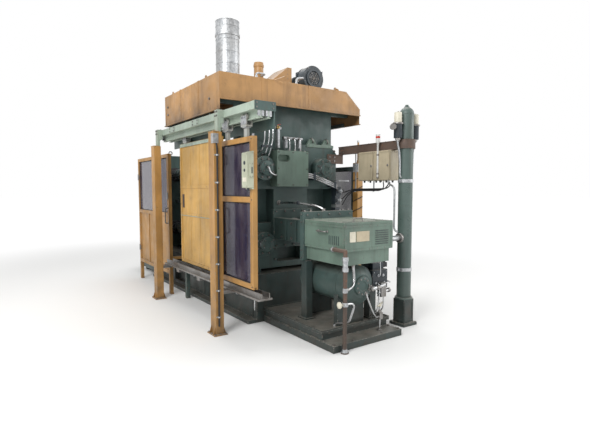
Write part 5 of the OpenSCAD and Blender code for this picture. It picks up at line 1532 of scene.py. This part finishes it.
def toggle_details():
    plates = Piece("toggle_pin_plates", STEEL)
    screws = Piece("toggle_pin_screws", BOLT)
    for y, dz in ((1890, 500), (2780, 500), (2366, 153)):
        for s, _, z in grid(SIDES, 0, (CLAMP_Z - dz, CLAMP_Z + dz)):
            plates.lathe((s * 350, y, z), X * s, [(52, 0), (52, 8), (48, 11), (20, 11), (18, 7), (0, 7)], 32)
            screws.caps(ring((s * 361, y, z), X * s, 36, 4, 0.78), X * s, 7)


def platen_sides():
    platens = Piece("moving_platen_screws", BOLT)
    for s in SIDES:
        platens.bolts(grid(s * PLATEN_SIDE, (1520, 1720, 2950, 3150), (680, CLAMP_Z, 2020)), X * s, 14)
        platens.bolts(grid((s * 620, s * 680), 1770, (660, 2040)), Y, 14)
        for y in (1600, 3050):
            platens.lathe((s * 460, y, 2100), Z, [(30, 0), (30, 10), (16, 14), (14, 30)], 24)
            platens.hoop((s * 460, y, 2155), Y, 28, 9, 28, 10)
    wipers = Piece("bar_wipers", RUBBER)
    for x, _, z in BARS:
        for y, out in ((1470, -Y), (1770, Y), (REAR_Y0, -Y)):
            wipers.lathe((x, y, z), out, [(81.5, 0), (115, 0), (115, 10), (108, 14), (81.5, 14)], 44)


def grease_lines():
    lines = Piece("grease_lines", GROUND, bevel=0)
    blocks = Piece("grease_blocks", BRASS)
    for s, up in itertools.product(SIDES, SIDES):
        x, z, drop = s * 405, CLAMP_Z + up * 500, CLAMP_Z + up * 450
        for y, bend, near, end in ((1890, 1860, 1790, 1770), (2780, 2820, 2880, REAR_Y0)):
            out = math.copysign(2, near - end)
            lines.tube([(s * 365, y, z), (s * 395, y, z), (x, bend, z - up * 30), (x, near, drop),
                        (x, end + out, drop)], 5, 8, 20)
            lines.rod((s * 357, y, z), (s * 372, y, z), 9, sides=6)
            blocks.box((x - 18, end, drop - 18), (x + 18, end + 8 * out, drop + 18))


def crosshead_screws():
    crosshead = Piece("crosshead_screws", BOLT)
    crosshead.caps(grid((-70, 70, -460, 460), 2500, (1230, 1470)), -Y, 10)
    crosshead.caps(ring((0, 2620, CLAMP_Z), Y, 85, 8, 0.2), Y, 10)
    crosshead.caps(grid((-220, 220), 2000, (1150, CLAMP_Z, 1550)), Y, 10)


def rear_details():
    screws = Piece("rear_screws", BOLT)
    screws.bolts(ring((0, REAR_Y1 + 60, CLAMP_Z), Y, 195, 12, 0.13), Y, 14)
    screws.caps(ring((0, CYLINDER_END, CLAMP_Z), Y, 150, 12, 0.1), Y, 14)
    screws.caps(ring((0, 3460, RING_MOTOR_Z), Y, 72, 6, 0.1), Y, 7)
    screws.bolts(grid((-690, 690), REAR_Y1, (700, CLAMP_Z, 2000)), Y, 14)
    teeth = Piece("adjusting_teeth", STEEL, bevel=0)
    for x, _, z in BARS:
        screws.caps(ring((x, 3310, z), Y, 128, 8, 0.2), Y, 12)
        teeth.fins((x, 3242, z), Y, 48, 166.5, (9, 10, 50))
        teeth.lathe((x, 3458, z), Y, [(79.5, 0), (79.5, 3), (70, 8), (12, 8), (10, 4), (0, 4)], 40)
    teeth.fins((0, REAR_Y1 + 3, CLAMP_Z), Y, 120, 456.5, (8, 12, 34))


def cylinder_trim():
    trim = Piece("cylinder_trim", GREEN)
    for y in (3262, 3985):
        trim.lathe((0, y, CLAMP_Z), Y, [(150, 0), (156, 2), (156, 30), (150, 32)], 56)
    trim.lathe((0, CYLINDER_END, CLAMP_Z), Y,
               [(100, 0), (100, 16), (94, 20), (45, 20), (42, 14), (0, 14)], 40)
    for y in (3340, 3880):
        trim.box((-45, y, 1495), (45, y + 80, 1545))
    pipes = Piece("cylinder_pipes", GROUND, bevel=0)
    pipes.tube([(0, 3380, 1545), (0, 3380, 1600), (100, 3380, 1620), (220, 3400, 1620), (240, 3450, 1550),
                (240, 3700, 1300), (240, 3720, 1100), (240, 3720, TANK_TOP + 2)], 18, 16, 60)
    pipes.tube([(0, 3920, 1545), (0, 3920, 1600), (100, 3920, 1620), (220, 3920, 1620), (280, 3920, 1520),
                (300, 3920, 1200), (300, 3920, TANK_TOP + 2)], 18, 16, 60)
    for x, y in ((240, 3720), (300, 3920)):
        pipes.lathe((x, y, TANK_TOP), Z, [(45, 0), (45, 12), (28, 14), (28, 34), (18, 36)], 28)
    nuts = Piece("cylinder_port_nuts", BOLT)
    for y in (3380, 3920):
        nuts.lathe((0, y, 1545), Z, [(34, 0), (34, 18), (24, 20), (24, 34)], 6)
        nuts.caps(grid((-35, 35), (y - 30, y + 30), 1545), Z, 7)


def ring_motor():
    motor = Piece("ring_motor_trim", DARK)
    motor.lathe((0, 3620, RING_MOTOR_Z), Y, [(62, 0), (62, 8), (50, 16), (0, 16)], 32)
    motor.fins((0, 3475, RING_MOTOR_Z), Y, 28, 72, (12, 3, 120))
    motor.box((-35, 3500, RING_MOTOR_Z + 60), (35, 3580, RING_MOTOR_Z + 95))


def tank_details():
    (x0, _, _), (x1, y1, _) = box_of("oil_tank")
    x0, x1, y0, y1, lid = x0 + 20, x1 - 20, 3510, y1 - 20, (360, 4200)
    covers = Piece("tank_covers", GREEN)
    covers.lathe((*lid, TANK_TOP), Z, [(85, 0), (85, 8), (60, 10), (60, 18), (0, 18)], 40)
    for s in SIDES:
        covers.lathe((s * x1, 3940, 340), X * s, [(155, 0), (155, 10), (148, 13), (0, 13)], 44)
        covers.frame(0, s * x1, s * 4, (y0 + 20, 100), (y1 - 20, 630), 12)
    covers.frame(1, y1, 4, (x0 + 20, 100), (x1 - 20, 630), 12)
    covers.box((-440, 3600, TANK_TOP), (-120, 4100, TANK_TOP + 14))
    for x, y, z in grid((-400, -190), (3740, 3940), TANK_TOP + 14):
        covers.box((x, y, z), (x + 30, y + 50, z + 51))
    bolts = Piece("tank_bolts", BOLT)
    bolts.bolts(ring((*lid, TANK_TOP + 8), Z, 72, 6), Z, 6)
    for s in SIDES:
        bolts.bolts(ring((s * (x1 + 10), 3940, 340), X * s, 135, 12, 0.1), X * s, 7)
    bolts.bolts(around(2, TANK_TOP, (x0 + 30, y0 + 30), (x1 - 30, y1 - 30), (7, 5)), Z, 7)
    bolts.bolts(grid((-425, -135), (3620, 4080), TANK_TOP + 14), Z, 10)
    filler = Piece("tank_filler", STEEL)
    filler.lathe((*lid, TANK_TOP + 18), Z, [(38, 0), (38, 40), (46, 44), (46, 74), (40, 80), (0, 80)], 32)
    filler.lathe((0, y1 + 2, 140), Y, [(22, -3), (22, 8), (15, 10), (15, 16)], 6)
    gauge = Piece("level_gauge", DARK)
    gauge.box((400, y1 - 0.5, 300), (440, y1 + 12, 520))
    gauge.box((-60, y1 - 60, TANK_TOP), (60, y1 - 15, TANK_TOP + 60))
    glass = Piece("level_glass", PLATE, bevel=1)
    glass.box((411, y1 + 11.5, 335), (429, y1 + 14.5, 485))


def pump_details():
    x, _, _ = centre_of("pump_motor")
    z, port_y = TANK_TOP + 180, 4120
    trim = Piece("pump_motor_trim", DARK)
    trim.fins((x, 3700, z), Y, 44, 150, (30, 4, 250))
    trim.lathe((x, 3965, z), Y, [(150, 0), (168, 4), (168, 20), (150, 24)], 48)
    trim.lathe((x, 3632, z), -Y, [(135, -10), (135, 6), (120, 14), (20, 14), (0, 10)], 48)
    trim.box((x - 60, 3760, z + 150), (x + 60, 3880, z + 215))
    trim.lathe((x, 4225, z), Y, [(60, 0), (60, 12), (40, 18), (22, 18), (22, 30), (0, 30)], 32)
    bolts = Piece("pump_bolts", BOLT)
    bolts.bolts(ring((x, 3989, z), Y, 157, 8, 0.2), Y, 8)
    bolts.caps(ring((x, 4237, z), Y, 50, 6, 0.2), Y, 6)
    bolts.caps(grid((x - 48, x + 48), (3772, 3868), z + 215), Z, 5)
    for r in (30, 50, 70, 90, 110):
        bolts.hoop((x, 3618, z), Y, r, 1.6, 40, 4)
    pipes = Piece("pump_pipes", GROUND, bevel=0)
    pipes.tube([(x + 88, port_y, z), (x + 160, port_y, z), (x + 240, port_y, z - 20),
                (x + 260, port_y, z - 100), (x + 260, port_y, TANK_TOP + 2)], 20, 16, 60)
    pipes.tube([(x, port_y, z + 88), (x, port_y, z + 150), (x + 60, port_y, z + 200),
                (x + 300, 4100, z + 200), (160, 4020, z + 200), (180, 4000, z + 100),
                (180, 4000, TANK_TOP + 2)], 15, 14, 50)
    for at, y in ((x + 260, port_y), (180, 4000)):
        pipes.lathe((at, y, TANK_TOP), Z, [(42, 0), (42, 12), (26, 14), (26, 34), (18, 36)], 28)


toggle_details()
platen_sides()
grease_lines()
crosshead_screws()
rear_details()
cylinder_trim()
ring_motor()
tank_details()
pump_details()


for piece in PIECES:
    piece.finish()


# Stage and light

FLOOR_LIKE, FADE_FROM, FADE_TO = (0.90, 0.90, 0.89), 2.5, 7.0
AIM = Vector((0, 0.5, 1.2))


def make_stage():
    """A pale floor that fades to white well away from the machine."""
    bpy.ops.mesh.primitive_plane_add(size=160, location=(0, 0, -0.001))
    floor = bpy.context.object
    floor.name = "floor"
    s = Shader("pale_floor")
    reach = s.node("VectorMath")
    reach.operation = "LENGTH"
    feed(s.tree, reach.inputs[0], s.stretched((1.0, 0.75, 1.0), (0, -1.2, 0)))
    far = s.ramp(reach.outputs["Value"], FADE_FROM, FADE_TO)
    far.node.interpolation_type = "SMOOTHERSTEP"
    s.put(base_color=s.blend(far, FLOOR_LIKE, (0, 0, 0)), roughness=0.9, specular_ior_level=0.1,
          emission_color=(1, 1, 1), emission_strength=far)
    floor.data.materials.append(s.mat)


def area_light(name, place, aim, size, power):
    data = bpy.data.lights.new(name, "AREA")
    data.size = size
    data.energy = power
    lamp = add(name, data)
    lamp.location = place
    lamp.rotation_mode = "QUATERNION"
    lamp.rotation_quaternion = (Vector(aim) - Vector(place)).to_track_quat("-Z", "Y")


def make_world():
    """White where the camera and reflections see it, and softer as a light."""
    world = bpy.data.worlds.new("studio")
    bpy.context.scene.world = world
    world.use_nodes = True
    tree = world.node_tree
    back = tree.nodes["Background"]
    path = tree.nodes.new("ShaderNodeLightPath")
    seen = tree.nodes.new("ShaderNodeMath")
    seen.operation = "MAXIMUM"
    strength = tree.nodes.new("ShaderNodeMapRange")
    feed(tree, seen.inputs[0], path.outputs["Is Camera Ray"])
    feed(tree, seen.inputs[1], path.outputs["Is Glossy Ray"])
    feed(tree, strength.inputs["To Min"], 0.45)
    feed(tree, strength.inputs["Value"], seen.outputs[0])
    feed(tree, back.inputs["Strength"], strength.outputs["Result"])
    feed(tree, back.inputs["Color"], (1, 1, 1))


make_stage()
make_world()
area_light("key", (-7.5, -3.6, 6.5), AIM, 4.0, 600)
area_light("fill", (6.0, -4.0, 4.0), AIM, 5.0, 210)
area_light("top", (0.5, 2.0, 8.0), (0, 1.0, 0.5), 6.0, 330)
bpy.context.scene.view_settings.view_transform = "Standard"
